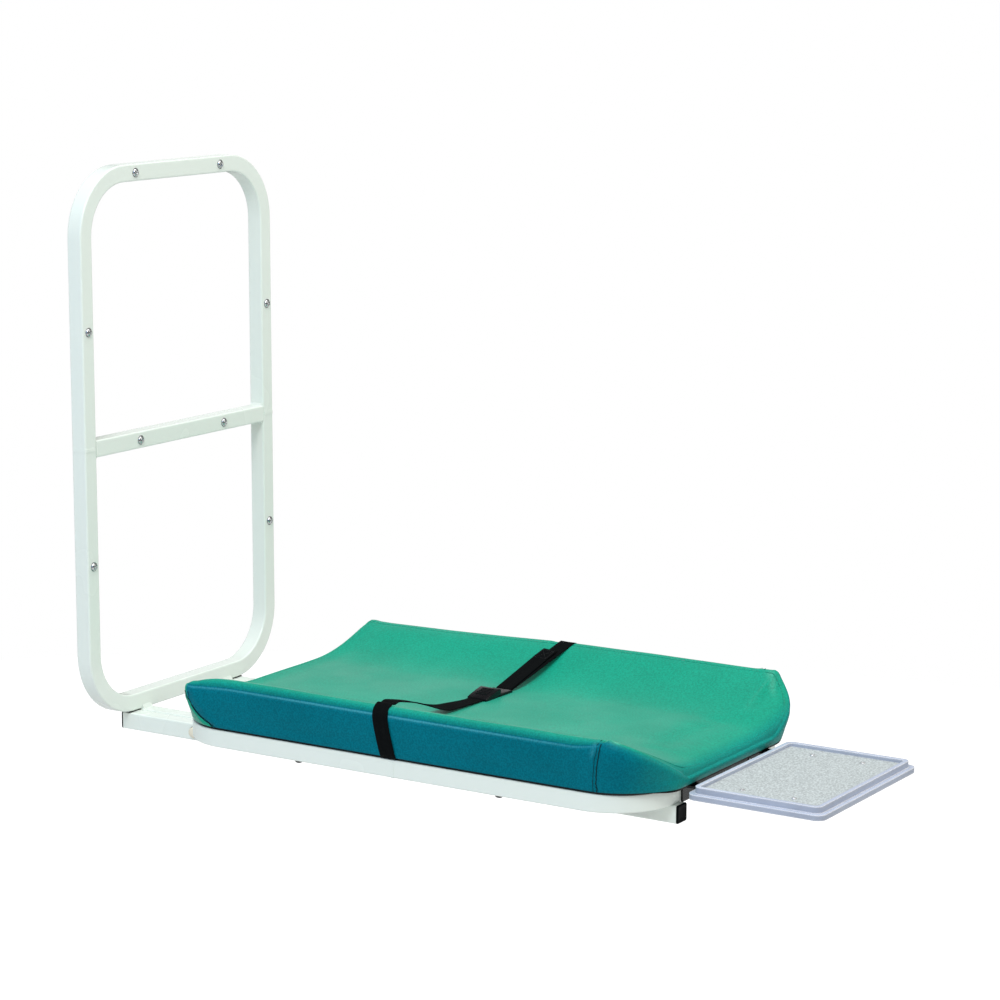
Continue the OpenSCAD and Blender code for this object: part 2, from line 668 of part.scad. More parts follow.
// A band on the outer side of its route, from low to high above it, closed and triangulated
module band(route, low, high, side = 1) {
  n = len(route);
  points = [for (i = [0:n - 1]) let (p = route[i], o = outer_side(route, i), y = strap_y(side * p[0], p[1]))
    each [for (c = [[low, -1], [low, 1], [high, 1], [high, -1]])
      [side * (p[0] + o[0] * c[0]), y + c[1] * strap_w / 2, p[1] + o[1] * c[0]]]];
  last = 4 * (n - 1);
  faces = concat(
    [[0, 1, 2], [0, 2, 3], [last + 2, last + 1, last], [last + 3, last + 2, last]],
    [for (i = [0:n - 2], k = [0:3], h = [0, 1])
      let (a = 4 * i + k, b = 4 * i + (k + 1) % 4)
      h == 0 ? [a, a + 4, b] : [b, a + 4, b + 4]]
  );
  polyhedron(points, side < 0 ? faces : [for (f = faces) [f[2], f[1], f[0]]]);
}
// From under the board round the mat's lower edge, up its wall and over the crest
under_z = ring_top + groove_t;
side_route = concat(
  [[0, under_z], [crest_x, under_z]],
  [for (w = wall_shares) [crest_x + mat_lean * w[1], mat_low + (mat_crest - mat_low) * w[0]]],
  [[crest_x, mat_crest]]
);
bed_z = mat_mid + soft_gap;
// Places across the mat and heights between its middle and its crest
near_sag_shares = [[0.95, 0.965], [0.8, 0.78], [0.5, 0.42], [0.22, 0.15], [0.1, 0.06]];
far_rise_shares = [[0.95, 0.99]];
function drape(shares) = [for (p = shares) [crest_x * p[0], bed_z + (mat_crest - bed_z) * p[1]]];
tongue_end = socket_len + tongue_len;
web_gap = (socket_low_t - strap_t) / 2;
near_route = concat(side_route, drape(near_sag_shares),
  [[0, bed_z + web_gap], [-pocket_depth, bed_z + web_gap]]);
far_route = concat(side_route, drape(far_rise_shares),
  [[tongue_end, bed_z + web_gap], [tongue_end - pocket_depth, bed_z + web_gap]]);
module strap_near() {
  color("black") placed() band(near_route, soft_gap, soft_gap + strap_t, -1);
}
module strap_far() {
  color("black") placed() band(far_route, soft_gap, soft_gap + strap_t);
}
// The free tail lies on the far webbing, its end a little raised
module strap_tail() {
  a = far_route[len(far_route) - 2];
  d = unit(far_route[len(far_route) - 3] - a);
  up = [-d[1], d[0]];
  base = soft_gap * 2 + strap_t;
  route = [for (k = [1, 0.6, 0.08])
    a + d * (tail_len * k + strap_w / 2) + up * (base + tail_lift * pow(k, 2))];
  color("black") placed() band(route, 0, strap_t);
}
module at_buckle() {
  translate([0, strap_y(0, mat_crest), bed_z]) rotate(-strap_skew) children();
}
// A piece of the buckle drawn from its side view, [x, z], across a width
module from_side(w, points) {
  rotate([90, 0, 0]) linear_extrude(w, center = true) polygon(points);
}
pocket_w = strap_w + 2 * soft_gap;
module buckle_socket() {
  color("black") placed() at_buckle() difference() {
    from_side(buckle_w, [
      [0, 0], [0, socket_low_t], [socket_len * 0.9, socket_t], [socket_len, socket_t * 0.9], [socket_len, 0]
    ]);
    // Pockets for the near webbing and for the tongue
    translate([-cut, -pocket_w / 2, web_gap]) cube([pocket_depth + cut + soft_gap, pocket_w, groove_t]);
    translate([socket_len - pocket_depth - soft_gap, -pocket_w / 2, -cut])
      cube([pocket_depth + cut + soft_gap, pocket_w, tongue_t + soft_gap + cut]);
  }
}
module buckle_tongue() {
  step = (buckle_w - strap_w) / 2;
  color("black") placed() at_buckle() difference() {
    union() {
      translate([socket_len - pocket_depth, -strap_w / 2, 0])
        cube([tongue_len + pocket_depth, strap_w, tongue_t]);
      translate([socket_len + soft_gap, -buckle_w / 2, 0]) cube([tongue_len - soft_gap, buckle_w, tongue_t]);
    }
    translate([tongue_end - pocket_depth - soft_gap, -pocket_w / 2, web_gap])
      cube([pocket_depth + soft_gap + cut, pocket_w, groove_t]);
    // Window between the tongue's arms
    translate([socket_len + step, -strap_w / 4, -cut])
      cube([tongue_len - pocket_depth - 2 * step, strap_w / 2, tongue_t + 2 * cut]);
  }
}

// Tray and its bracket
tray_y = -(ring_front + tray_out + tray_d / 2);
rim_top = ring_top + tray_rim_h;
floor_top = rim_top - tray_depth;
floor_low = floor_top - tray_wall;
edge_low = rim_top - tray_edge_h;
step_top = rim_top - tray_step;
dish_r = tray_corner_r - tray_band + tray_wall;
tray_screw_places = [for (x = [-1, 1], y = [-1, 1]) [x * bracket_gap / 2, tray_y + y * tray_screw_gap / 2]];
module tray_slab(grow, r, low, high) {
  translate([0, tray_y, low]) linear_extrude(high - low)
    round_rect(tray_w + 2 * grow, tray_d + 2 * grow, r);
}
module tray() {
  skirt_r = tray_corner_r + tray_skirt_out / 2;
  color("lavender", 0.6) placed() difference() {
    union() {
      tray_slab(0, tray_corner_r, edge_low, rim_top);
      tray_slab(tray_skirt_out, skirt_r, edge_low, step_top);
    }
    // The dish, the hollow rim and the space under the floor and the step
    tray_slab(-tray_band, dish_r, floor_top, rim_top + cut);
    difference() {
      tray_slab(-tray_wall, tray_corner_r - tray_wall, edge_low - cut, rim_top - tray_wall);
      tray_slab(-tray_band + tray_wall, dish_r + tray_wall, floor_low, rim_top);
    }
    tray_slab(tray_skirt_out - tray_wall, skirt_r - tray_wall, edge_low - cut, step_top - tray_wall);
    for (p = tray_screw_places) translate([p[0], p[1], floor_low - cut])
      cylinder(r = tray_screw_d / 2 + screw_play, h = tray_wall + 2 * cut);
    // Notches in the rear skirt for the bracket's arms
    for (s = [-1, 1])
      translate([s * bracket_gap / 2 - bracket_arm_w / 2 - liner_gap, tray_y, edge_low - cut])
        cube([bracket_arm_w + 2 * liner_gap, tray_d, floor_low + cut - edge_low]);
  }
}
module tray_liner() {
  color("gainsboro") placed() difference() {
    tray_slab(-tray_band - liner_gap, dish_r - liner_gap, floor_top, floor_top + liner_t);
    for (p = tray_screw_places) translate([p[0], p[1], floor_top - cut])
      cylinder(r = tray_screw_d / 2 + screw_play, h = liner_t + 2 * cut);
  }
}
module tray_bracket() {
  reach = tray_out + tray_d / 2 + tray_screw_gap / 2 + bracket_arm_w / 2;
  color("black") placed() difference() {
    union() {
      translate([-bracket_w / 2, -ring_front - bracket_t, rail_top])
        cube([bracket_w, bracket_t, floor_low - rail_top]);
      for (s = [-1, 1])
        translate([s * bracket_gap / 2 - bracket_arm_w / 2, -ring_front - reach, floor_low - bracket_t])
          cube([bracket_arm_w, reach, bracket_t]);
    }
    for (p = tray_screw_places) translate([p[0], p[1], floor_low - bracket_t - cut])
      cylinder(r = tray_screw_d / 2 + screw_play, h = bracket_t + 2 * cut);
    at_bracket_screws() translate([0, 0, -cut])
      cylinder(r = bracket_screw_d / 2 + screw_play, h = bracket_t + 2 * cut);
  }
}
module tray_screws() {
  grip = liner_t + tray_wall + bracket_t + tray_screw_d;
  color("silver") placed() for (p = tray_screw_places) translate([p[0], p[1], floor_top + liner_t]) {
    dome(tray_head_d, tray_head_h);
    translate([0, 0, -grip]) cylinder(r = tray_screw_d / 2, h = grip);
  }
}
module tray_nuts() {
  h = tray_screw_d * 0.8;
  color("silver") placed() for (p = tray_screw_places) translate([p[0], p[1], floor_low - bracket_t - h])
    difference() {
      cylinder(r = tray_screw_d, h = h, $fn = 6);
      translate([0, 0, -cut]) cylinder(r = tray_screw_d / 2, h = h + 2 * cut);
    }
}
module at_bracket_screws() {
  for (s = [-1, 1])
    translate([s * bracket_screw_gap / 2, -ring_front, pivot_z + tube]) rotate([90, 0, 0]) children();
}
module bracket_screws() {
  color("silver") placed() at_bracket_screws() {
    translate([0, 0, bracket_t]) dome(2 * bracket_screw_d, bracket_screw_d / 2);
    translate([0, 0, -bracket_screw_d * 2])
      cylinder(r = bracket_screw_d / 2, h = bracket_screw_d * 2 + bracket_t);
  }
}
module bracket_rivet_nuts() {
  color("silver") placed() at_bracket_screws() translate([0, 0, -bracket_screw_d * 2]) difference() {
    cylinder(r = rivet_r, h = bracket_screw_d * 2);
    translate([0, 0, -cut]) cylinder(r = bracket_screw_d / 2, h = bracket_screw_d * 2 + 2 * cut);
  }
}

wall_frame_upper();
wall_frame_lower();
wall_crossbar();
wall_frame_welds();
wall_screws();
wall_screw_washers();
hinge_arm_left();
hinge_arm_right();
arm_end_plugs();
stop_pads();
pivot_bolts();
pivot_bolt_caps();
pivot_nuts();
pivot_bushes();
rail_left();
rail_right();
rail_rear_plugs();
rail_front_plugs();
ring_rear_half();
ring_front_half();
platform_welds();
mat_board();
board_screws();
board_nuts();
changing_mat();
strap_near();
strap_far();
strap_tail();
buckle_socket();
buckle_tongue();
tray();
tray_liner();
tray_bracket();
tray_screws();
tray_nuts();
bracket_screws();
bracket_rivet_nuts();
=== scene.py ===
"""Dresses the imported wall-mounted changing station: enamelled tubes, padded mat, strap, buckle and tray."""

import math

import bmesh
import bpy
import numpy as np
from mathutils import Matrix, Vector, noise
from mathutils.bvhtree import BVHTree
from mathutils.kdtree import KDTree


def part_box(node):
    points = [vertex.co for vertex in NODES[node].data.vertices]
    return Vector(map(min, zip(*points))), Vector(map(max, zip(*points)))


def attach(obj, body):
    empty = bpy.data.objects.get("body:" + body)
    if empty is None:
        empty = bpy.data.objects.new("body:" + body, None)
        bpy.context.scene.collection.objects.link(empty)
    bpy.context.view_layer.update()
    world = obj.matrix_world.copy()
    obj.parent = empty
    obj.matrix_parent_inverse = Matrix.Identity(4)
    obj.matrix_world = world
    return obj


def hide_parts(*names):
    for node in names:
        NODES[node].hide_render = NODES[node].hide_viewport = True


bl_info = {
    "name": "Wall-mounted changing station",
    "version": (1, 0, 0),
    "blender": (4, 5, 0),
    "location": "3D View > Sidebar > Station",
    "description": "Looks of a folding changing station on its packed frame",
    "category": "Object",
}

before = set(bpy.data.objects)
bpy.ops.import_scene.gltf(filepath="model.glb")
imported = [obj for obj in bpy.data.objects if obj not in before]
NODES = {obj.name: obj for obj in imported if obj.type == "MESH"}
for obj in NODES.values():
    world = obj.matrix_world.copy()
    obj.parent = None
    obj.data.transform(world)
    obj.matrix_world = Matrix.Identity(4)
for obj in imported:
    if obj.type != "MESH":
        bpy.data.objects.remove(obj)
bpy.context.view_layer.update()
MM = 0.001
WALL, PLATFORM = "wall_side", "platform"


def linear(colour):
    """The linear RGBA value of an sRGB hex colour."""
    parts = [int(colour[i:i + 2], 16) / 255 for i in (1, 3, 5)]
    return (*[c / 12.92 if c <= 0.04045 else ((c + 0.055) / 1.055) ** 2.4 for c in parts], 1.0)


def add(tree, kind, feeds=None, **settings):
    """Adds a node, sets its properties and feeds its inputs with constants or with other nodes' outputs."""
    node = tree.nodes.new(kind)
    for name, value in settings.items():
        setattr(node, name, value)
    for name, value in (feeds or {}).items():
        if isinstance(value, bpy.types.NodeSocket):
            tree.links.new(value, node.inputs[name])
        else:
            node.inputs[name].default_value = value
    return node


def colour_property(name, colour, description):
    """A colour that a user would change, with its default as an sRGB hex value."""
    return bpy.props.FloatVectorProperty(
        name=name, description=description, subtype="COLOR", size=3, min=0, max=1, default=linear(colour)[:3])


def length_property(name, millimetres, description):
    """A length that a user would change, with its default in millimetres."""
    return bpy.props.FloatProperty(
        name=name, description=description, subtype="DISTANCE", unit="LENGTH", min=0,
        default=millimetres * MM)


class StationFinish(bpy.types.PropertyGroup):
    """Colours of the station's finishes."""
    enamel: colour_property("Enamel", "#E9F1E9", "Powder coat on the tubes")
    vinyl: colour_property("Vinyl", "#039B7E", "Top panel of the mat")
    vinyl_side: colour_property("Side vinyl", "#006D7D", "Side panels of the mat")
    webbing: colour_property("Webbing", "#080B0C", "Safety strap")
    tray: colour_property("Tray", "#C0C9DC", "Styrene of the tray")
    liner: colour_property("Liner", "#B8BFBF", "Anti-slip liner in the tray")


class StationSizes(bpy.types.PropertyGroup):
    """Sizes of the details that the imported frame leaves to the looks."""
    swell: length_property("Swell", 3, "How far the mat's foam may swell")
    voxel: length_property("Voxel", 6, "Cell of the mat's remesh")
    seam_depth: length_property("Seam depth", 2.4, "How deep the mat's seams are drawn in")
    strap_dent: length_property("Strap dent", 1, "How far the strap presses into the mat's edges")
    stitch: length_property("Stitch", 3.2, "Length of one stitch")
    thread: length_property("Thread", 0.7, "Thickness of the sewing thread")


# Materials


def surface(name, colour, roughness, **sockets):
    """A material with one Principled shader and its constants, its tree and the object's coordinates."""
    mat = bpy.data.materials.new(name)
    mat.use_nodes = True
    tree = mat.node_tree
    tree.nodes.clear()
    feeds = {"Base Color": (*colour[:3], 1.0), "Roughness": roughness}
    feeds.update({socket.replace("_", " "): value for socket, value in sockets.items()})
    shader = add(tree, "ShaderNodeBsdfPrincipled", feeds)
    add(tree, "ShaderNodeOutputMaterial", {"Surface": shader.outputs[0]})
    place = add(tree, "ShaderNodeTexCoord").outputs["Object"]
    return mat, tree, shader, place


def wire(tree, shader, **outputs):
    """Links outputs to the shader's sockets by name."""
    for socket, output in outputs.items():
        tree.links.new(output, shader.inputs[socket.replace("_", " ")])


def shade(colour, share):
    """A colour made darker, or lighter above 1."""
    return (*[min(1.0, c * share) for c in colour[:3]], 1.0)


def ramp(tree, share, low, high, spread=(0.0, 1.0)):
    """A colour that runs from one to another while a value crosses a spread."""
    node = add(tree, "ShaderNodeValToRGB", {"Fac": share})
    for stop, position, colour in zip(node.color_ramp.elements, spread, (low, high)):
        stop.position, stop.color = position, colour
    return node.outputs["Color"]


def blend(tree, share, low, high):
    """A colour between two others."""
    return add(tree, "ShaderNodeMix", {"Factor": share, 6: low, 7: high}, data_type="RGBA").outputs[2]


def maths(tree, operation, *values):
    """One step of arithmetic on constants or on other nodes' outputs."""
    return add(tree, "ShaderNodeMath", dict(enumerate(values)), operation=operation).outputs[0]


def remapped(tree, value, low, high, to_low=0.0, to_high=1.0):
    """A value's range turned into another one and held within it."""
    return add(tree, "ShaderNodeMapRange", {"Value": value, "From Min": low, "From Max": high,
                                            "To Min": to_low, "To Max": to_high}).outputs[0]


def clouds(tree, place, size, detail):
    """A value that wanders over patches of a real size in metres."""
    feeds = {"Vector": place, "Scale": 1 / size, "Detail": detail}
    return add(tree, "ShaderNodeTexNoise", feeds).outputs["Fac"]


def mottle(tree, place, size, colour, low, high, spread=(0.35, 0.65)):
    """A colour that wanders between two shares of itself over patches of a real size in metres."""
    return ramp(tree, clouds(tree, place, size, 3), shade(colour, low), shade(colour, high), spread)


def uneven(tree, place, size, low, high):
    """A roughness that wanders between two values over patches of a real size in metres."""
    return remapped(tree, clouds(tree, place, size, 2), 0.3, 0.7, low, high)


def relief(tree, shader, height, depth):
    """Bumps of a real depth in metres, from a height between 0 and 1."""
    bump = add(tree, "ShaderNodeBump", {"Height": height, "Distance": depth, "Strength": 1.0})
    wire(tree, shader, Normal=bump.outputs["Normal"])


def plain(name, colour, roughness, stains, gloss, bumps, **sockets):
    """A finish of one colour with faint stains, a slightly uneven gloss and fine bumps.

    Stains are a patch's size and two shares of the colour, gloss a patch's size and two shares of the
    roughness, bumps their size, detail and depth. Sizes are in millimetres."""
    mat, tree, shader, place = surface(name, colour, roughness, **sockets)
    wire(tree, shader, Base_Color=mottle(tree, place, stains[0] * MM, colour, *stains[1:]),
         Roughness=uneven(tree, place, gloss[0] * MM, roughness * gloss[1], roughness * gloss[2]))
    size, detail, depth = bumps
    relief(tree, shader, clouds(tree, place, size * MM, detail), depth * MM)
    return mat


def powder_coat(name, colour):
    """Gloss polyester powder coat on steel: even, slightly rippled, bright lines along the tubes' edges."""
    return plain(name, colour, 0.27, (90, 0.997, 1.003, (0.2, 0.8)), (120, 0.981, 1.019), (2.2, 1, 0.003),
                 Specular_IOR_Level=0.4, Coat_Weight=0.3, Coat_Roughness=0.07)


def plated_steel(name, colour, roughness):
    """Plated steel: bright metal with a faint cloudy passivation and fine turning marks."""
    return plain(name, colour, roughness, (6, 0.86, 1.04), (3, 0.8, 1.3), (0.5, 2, 0.01), Metallic=1.0)


def moulded(name, colour, roughness, grain=0.8, depth=0.03, **sockets):
    """Moulded plastic or rubber: a fine spark-eroded texture and a slightly uneven gloss."""
    return plain(name, colour, roughness, (14, 0.9, 1.08), (5, 0.85, 1.15), (grain, 3, depth), **sockets)


def vinyl(name, top, side):
    """Coated PVC upholstery fabric over foam: a fine leather grain, soft sheen, side panels of a bluer tone.

    The mesh says where: the side panels' colour, also mixed in as painted shade round the nose and rolled
    edges;
    paler painted highlights on folds and edges; and the black binding round the foot, taller over the nose as
    painted shade."""
    mat, tree, shader, place = surface(name, top, 0.4, Sheen_Roughness=0.35)
    panel, edging, rubbed = (add(tree, "ShaderNodeAttribute", attribute_name=key).outputs["Fac"]
                             for key in ("side_panel", "edging", "rubbed"))
    tint = blend(tree, panel, mottle(tree, place, 130 * MM, top, 0.94, 1.05),
                 mottle(tree, place, 130 * MM, side, 0.93, 1.06))
    # Painted highlight colours for the top and the sides, mixed in along folds and edges
    pale = blend(tree, panel, linear("#A9E6CD"), linear("#58B2C2"))
    tint = blend(tree, edging, blend(tree, rubbed, tint, pale), linear("#050606"))
    # The sides and the black foot band have no sheen and hardly any gloss, so that their colours stay deep
    deep = maths(tree, "MAXIMUM", panel, edging)
    # Pores 2.4 mm apart, coarser than the real grain, so that they show from a step away
    fleck = remapped(tree, clouds(tree, place, 2.4 * MM, 2), 0.38, 0.62, 0.86, 1.14)
    speckled = add(tree, "ShaderNodeVectorMath", {0: tint, "Scale": fleck}, operation="SCALE").outputs[0]
    wire(tree, shader, Base_Color=speckled, Roughness=uneven(tree, place, 60 * MM, 0.38, 0.5),
         Sheen_Weight=maths(tree, "MULTIPLY_ADD", deep, -0.18, 0.18),
         Specular_IOR_Level=maths(tree, "MULTIPLY_ADD", deep, -0.17, 0.2))
    grain = add(tree, "ShaderNodeTexVoronoi", {"Vector": place, "Scale": 1 / (1.6 * MM)}, feature="SMOOTH_F1")
    relief(tree, shader, grain.outputs["Distance"], 0.06 * MM)
    return mat


def webbing_weave(name, colour):
    """Woven polyester webbing: herringbone ribs that catch a little light, on the band's own UV map."""
    mat, tree, shader, _ = surface(name, colour, 0.75, Specular_IOR_Level=0.06)
    flat = add(tree, "ShaderNodeUVMap", uv_map="weave").outputs["UV"]
    split = add(tree, "ShaderNodeSeparateXYZ", {"Vector": flat})
    along, across = split.outputs["X"], split.outputs["Y"]
    # Ribs 1.6 mm apart across the band, so that they show from a step away
    slope = maths(tree, "ADD", along, maths(tree, "PINGPONG", across, 6.25 * MM))
    rib, row = (maths(tree, "SINE", maths(tree, "MULTIPLY", value, 2 * math.pi / (pitch * MM)))
                for value, pitch in ((slope, 1.6), (across, 0.9)))
    height = remapped(tree, maths(tree, "MULTIPLY_ADD", row, 0.35, rib), -1.35, 1.35)
    wire(tree, shader, Base_Color=ramp(tree, height, shade(colour, 0.55), shade(colour, 1.9)))
    relief(tree, shader, height, 0.25 * MM)
    return mat


def painted_plywood(name, colour):
    """Birch plywood sealed with black paint: long grain under a satin film."""
    mat, tree, shader, place = surface(name, colour, 0.55)
    stretched = add(tree, "ShaderNodeMapping", {"Vector": place, "Scale": (1.0, 0.06, 1.0)}).outputs[0]
    grain = clouds(tree, stretched, 3 * MM, 5)
    wire(tree, shader, Base_Color=ramp(tree, grain, shade(colour, 0.7), shade(colour, 1.6)))
    relief(tree, shader, grain, 0.12 * MM)
    return mat


def lavender_styrene(name, colour):
    """Injection-moulded styrene, drawn opaque: painted shade on its lavender walls, painted light on its tops
    and edges.
    """
    mat, tree, shader, place = surface(name, colour, 0.15, Specular_IOR_Level=0.5)
    facet = add(tree, "ShaderNodeNewGeometry").outputs["Normal"]
    rise = add(tree, "ShaderNodeSeparateXYZ", {"Vector": facet}).outputs["Z"]
    # Painted light and shade: faces that look up are paler, walls darker
    tone = blend(tree, remapped(tree, rise, 0.2, 0.9), mottle(tree, place, 60 * MM, colour, 0.71, 0.8),
                 shade(colour, 1.04))
    # Where the rounded normal leaves the facet's own one, an edge is near, and a highlight is painted there
    soft = add(tree, "ShaderNodeBevel", {"Radius": 2.4 * MM}, samples=6).outputs["Normal"]
    match = add(tree, "ShaderNodeVectorMath", {0: soft, 1: facet}, operation="DOT_PRODUCT").outputs["Value"]
    painted_edge_light = blend(tree, remapped(tree, match, 0.998, 0.94, 0.0, 0.9), tone, linear("#F4F5FB"))
    wire(tree, shader, Base_Color=painted_edge_light, Normal=soft, Roughness=uneven(tree, place, 10 * MM, 0.1, 0.2))
    return mat


def speckled_liner(name, colour):
    """Anti-slip foam liner: pale grey with light and dark flecks about a millimetre wide, dull."""
    mat, tree, shader, place = surface(name, colour, 0.75)
    wire(tree, shader, Base_Color=mottle(tree, place, 2.6 * MM, colour, 0.72, 1.2, (0.36, 0.64)))
    relief(tree, shader, clouds(tree, place, 2.6 * MM, 3), 0.2 * MM)
    return mat


FINISHES = {}


def finish(name):
    """The named finish, made the first time that a piece needs it."""
    if name not in FINISHES:
        own = bpy.context.scene.station_finish
        makers = {
            "enamel": lambda: powder_coat("Gloss powder coat on steel", own.enamel),
            "chrome": lambda: plated_steel("Chromed steel", linear("#DCDCDE"), 0.24),
            "bright_chrome": lambda: plated_steel("Satin chromed steel", linear("#F6F6F8"), 0.5),
            "zinc": lambda: plated_steel("Zinc-plated steel", linear("#A9ABA8"), 0.34),
            "black_steel": lambda: powder_coat("Black powder coat on steel", linear("#0B0C0C")),
            "plug": lambda: moulded("Moulded LDPE, black", linear("#060B0D"), 0.35, Specular_IOR_Level=0.04),
            "acetal": lambda: moulded("Moulded acetal, black", linear("#0E0E11"), 0.25, grain=0.5,
                                      depth=0.015, Specular_IOR_Level=0.25),
            "rubber": lambda: moulded("EPDM rubber, black", linear("#1B1B1B"), 0.8, grain=1.2, depth=0.08),
            "cap": lambda: moulded("Polyethylene, ivory", linear("#E2DCC8"), 0.32, grain=1.5, depth=0.01),
            "nylon": lambda: moulded("Nylon, grey", linear("#66666A"), 0.5),
            "vinyl": lambda: vinyl("PVC upholstery vinyl, green", own.vinyl, own.vinyl_side),
            "seam": lambda: moulded("Bonded nylon thread, dark green", linear("#04363A"), 0.6, grain=0.6,
                                    Specular_IOR_Level=0.1),
            "webbing": lambda: webbing_weave("Polyester webbing, black", own.webbing),
            "thread": lambda: moulded("Bonded nylon thread, black", linear("#121214"), 0.5, grain=0.6),
            "board": lambda: painted_plywood("Birch plywood, painted black", linear("#171615")),
            "styrene": lambda: lavender_styrene("Styrene, lavender", own.tray),
            "liner": lambda: speckled_liner("Anti-slip foam, grey fleck", own.liner),
        }
        FINISHES[name] = makers[name]()
    return FINISHES[name]


# Making and placing pieces


def paint(finish_name, *nodes):
    """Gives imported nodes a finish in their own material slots."""
    for name in nodes:
        own = NODES[name]
        if not own.material_slots:
            own.data.materials.append(finish(finish_name))
        for part in own.material_slots:
            part.material = finish(finish_name)


def placed(name, data):
    """An object in the scene, made from its data."""
    own = bpy.data.objects.new(name, data)
    bpy.context.scene.collection.objects.link(own)
    return own


def plain_mesh(name, verts, edges=(), faces=()):
    """A mesh object at the origin with its place in its mesh."""
    mesh = bpy.data.meshes.new(name)
    mesh.from_pydata([tuple(v) for v in verts], edges, [tuple(f) for f in faces])
    return placed(name, mesh)


def face_outwards(mesh, merge=False):
    """Turns a closed mesh's faces outwards, and merges its doubles before that if asked."""
    bm = bmesh.new()
    bm.from_mesh(mesh)
    if merge:
        bmesh.ops.remove_doubles(bm, verts=bm.verts, dist=0.0005 * MM)
    bmesh.ops.recalc_face_normals(bm, faces=bm.faces)
    bm.to_mesh(mesh)
    bm.free()


def new_piece(name, verts, faces, finish_name):
    """A closed and smooth-shaded piece at the origin with its finish."""
    own = plain_mesh(name, verts, faces=faces)
    face_outwards(own.data, merge=True)
    own.data.shade_smooth()
    own.data.materials.append(finish(finish_name))
    return own


def settle(own, body, slot, *replaced):
    """Lets a finished piece ride on its body and in place of the nodes that it stands for; its slot is not
    used.
    """
    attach(own, body)
    if replaced:
        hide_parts(*replaced)
    return own


def apply_modifiers(own):
    """Turns the evaluated object into a plain mesh and removes its modifiers."""
    graph = bpy.context.evaluated_depsgraph_get()
    graph.update()
    mesh = bpy.data.meshes.new_from_object(own.evaluated_get(graph), depsgraph=graph)
    old = own.data
    own.modifiers.clear()
    own.data = mesh
    bpy.data.meshes.remove(old)
    mesh.name = own.name
    return own


def rounded(own, width):
    """Rounds a piece's edges sharper than 30 degrees with a bevel."""
    bevel = own.modifiers.new("rounding", "BEVEL")
    bevel.width, bevel.segments = width, 3
    bevel.limit_method, bevel.angle_limit = "ANGLE", math.radians(30)
    return apply_modifiers(own)


def smooth_line(points, count):
    """Even parameter steps along a Catmull-Rom curve through points of any dimension."""
    p = np.array(points, float)
    p = np.vstack([2 * p[0] - p[1], p, 2 * p[-1] - p[-2]])
    line = []
    for t in np.linspace(0, len(p) - 3, count):
        i = min(int(t), len(p) - 4)
        f = t - i
        a, b, c, d = p[i:i + 4]
        line.append(0.5 * (2 * b + (c - a) * f + (2 * a - 5 * b + 4 * c - d) * f ** 2
                           + (3 * b - a - 3 * c + d) * f ** 3))
    return np.array(line)


def run_along(points):
    """The length of a line up to each of its points."""
    return np.concatenate([[0], np.cumsum(np.linalg.norm(np.diff(points, axis=0), axis=1))])


def even_line(points, step):
    """The same line with points at even distances of about a step."""
    p = np.array(points, float)
    run = run_along(p)
    at = np.linspace(0, run[-1], max(2, int(round(run[-1] / step)) + 1))
    return np.stack([np.interp(at, run, p[:, k]) for k in range(p.shape[1])], axis=1)


def unit(rows):
    """Rows of vectors, each made one long."""
    return rows / np.linalg.norm(rows, axis=1)[:, None]


def way(value, start, end):
    """How far a value is on its way from a start to an end, held between 0 and 1."""
    return np.clip((value - start) / (end - start), 0, 1)


def past(value, edge, blur):
    """0 below an edge and 1 above it, blurred over a width."""
    return np.clip((value - edge) / blur + 0.5, 0, 1)


def bell(away, width):
    """1 at no distance, fading to 0 over a width."""
    return np.exp(-(away / width) ** 2)


def circle(radius, count):
    """Points round a circle."""
    return [(radius * math.cos(2 * math.pi * i / count), radius * math.sin(2 * math.pi * i / count))
            for i in range(count)]


def joined(count, n):
    """Quads between successive closed loops of n points each."""
    return [(j * n + i, j * n + (i + 1) % n, (j + 1) * n + (i + 1) % n, (j + 1) * n + i)
            for j in range(count - 1) for i in range(n)]


def swept(name, rings, finish_name):
    """A skin over closed rings of points, with its ends closed."""
    count, n = len(rings), len(rings[0])
    ends = [tuple(range(n)), tuple((count - 1) * n + i for i in reversed(range(n)))]
    return new_piece(name, [v for ring in rings for v in ring], joined(count, n) + ends, finish_name)


# Geometry Nodes


def started(name, **inputs):
    """A new tree with named inputs and one geometry output, and the sockets that its inputs come in by."""
    tree = bpy.data.node_groups.new(name, "GeometryNodeTree")
    for label, kind in inputs.items():
        tree.interface.new_socket(label, in_out="INPUT", socket_type="NodeSocket" + kind)
    tree.interface.new_socket("Result", in_out="OUTPUT", socket_type="NodeSocketGeometry")
    return tree, add(tree, "NodeGroupInput").outputs


def ended(tree, geometry, finish_socket):
    """Makes a tree's copies real, gives them their finish and hands them to its output."""
    real = add(tree, "GeometryNodeRealizeInstances", {"Geometry": geometry})
    painted = add(tree, "GeometryNodeSetMaterial", {"Geometry": real.outputs[0], "Material": finish_socket})
    add(tree, "NodeGroupOutput", {"Result": painted.outputs[0]})
    return tree


def repeat_tree():
    """Sets a copy of one shape on every point, turned by the point's own attribute."""
    tree, enter = started("Repeat at points", Points="Geometry", Shape="Object", Finish="Material")
    turn = add(tree, "GeometryNodeInputNamedAttribute", {"Name": "turn"}, data_type="FLOAT_VECTOR")
    shape = add(tree, "GeometryNodeObjectInfo", {"Object": enter["Shape"]})
    copies = add(tree, "GeometryNodeInstanceOnPoints", {
        "Points": enter["Points"], "Instance": shape.outputs["Geometry"],
        "Rotation": turn.outputs["Attribute"]})
    return ended(tree, copies.outputs["Instances"], enter["Finish"])


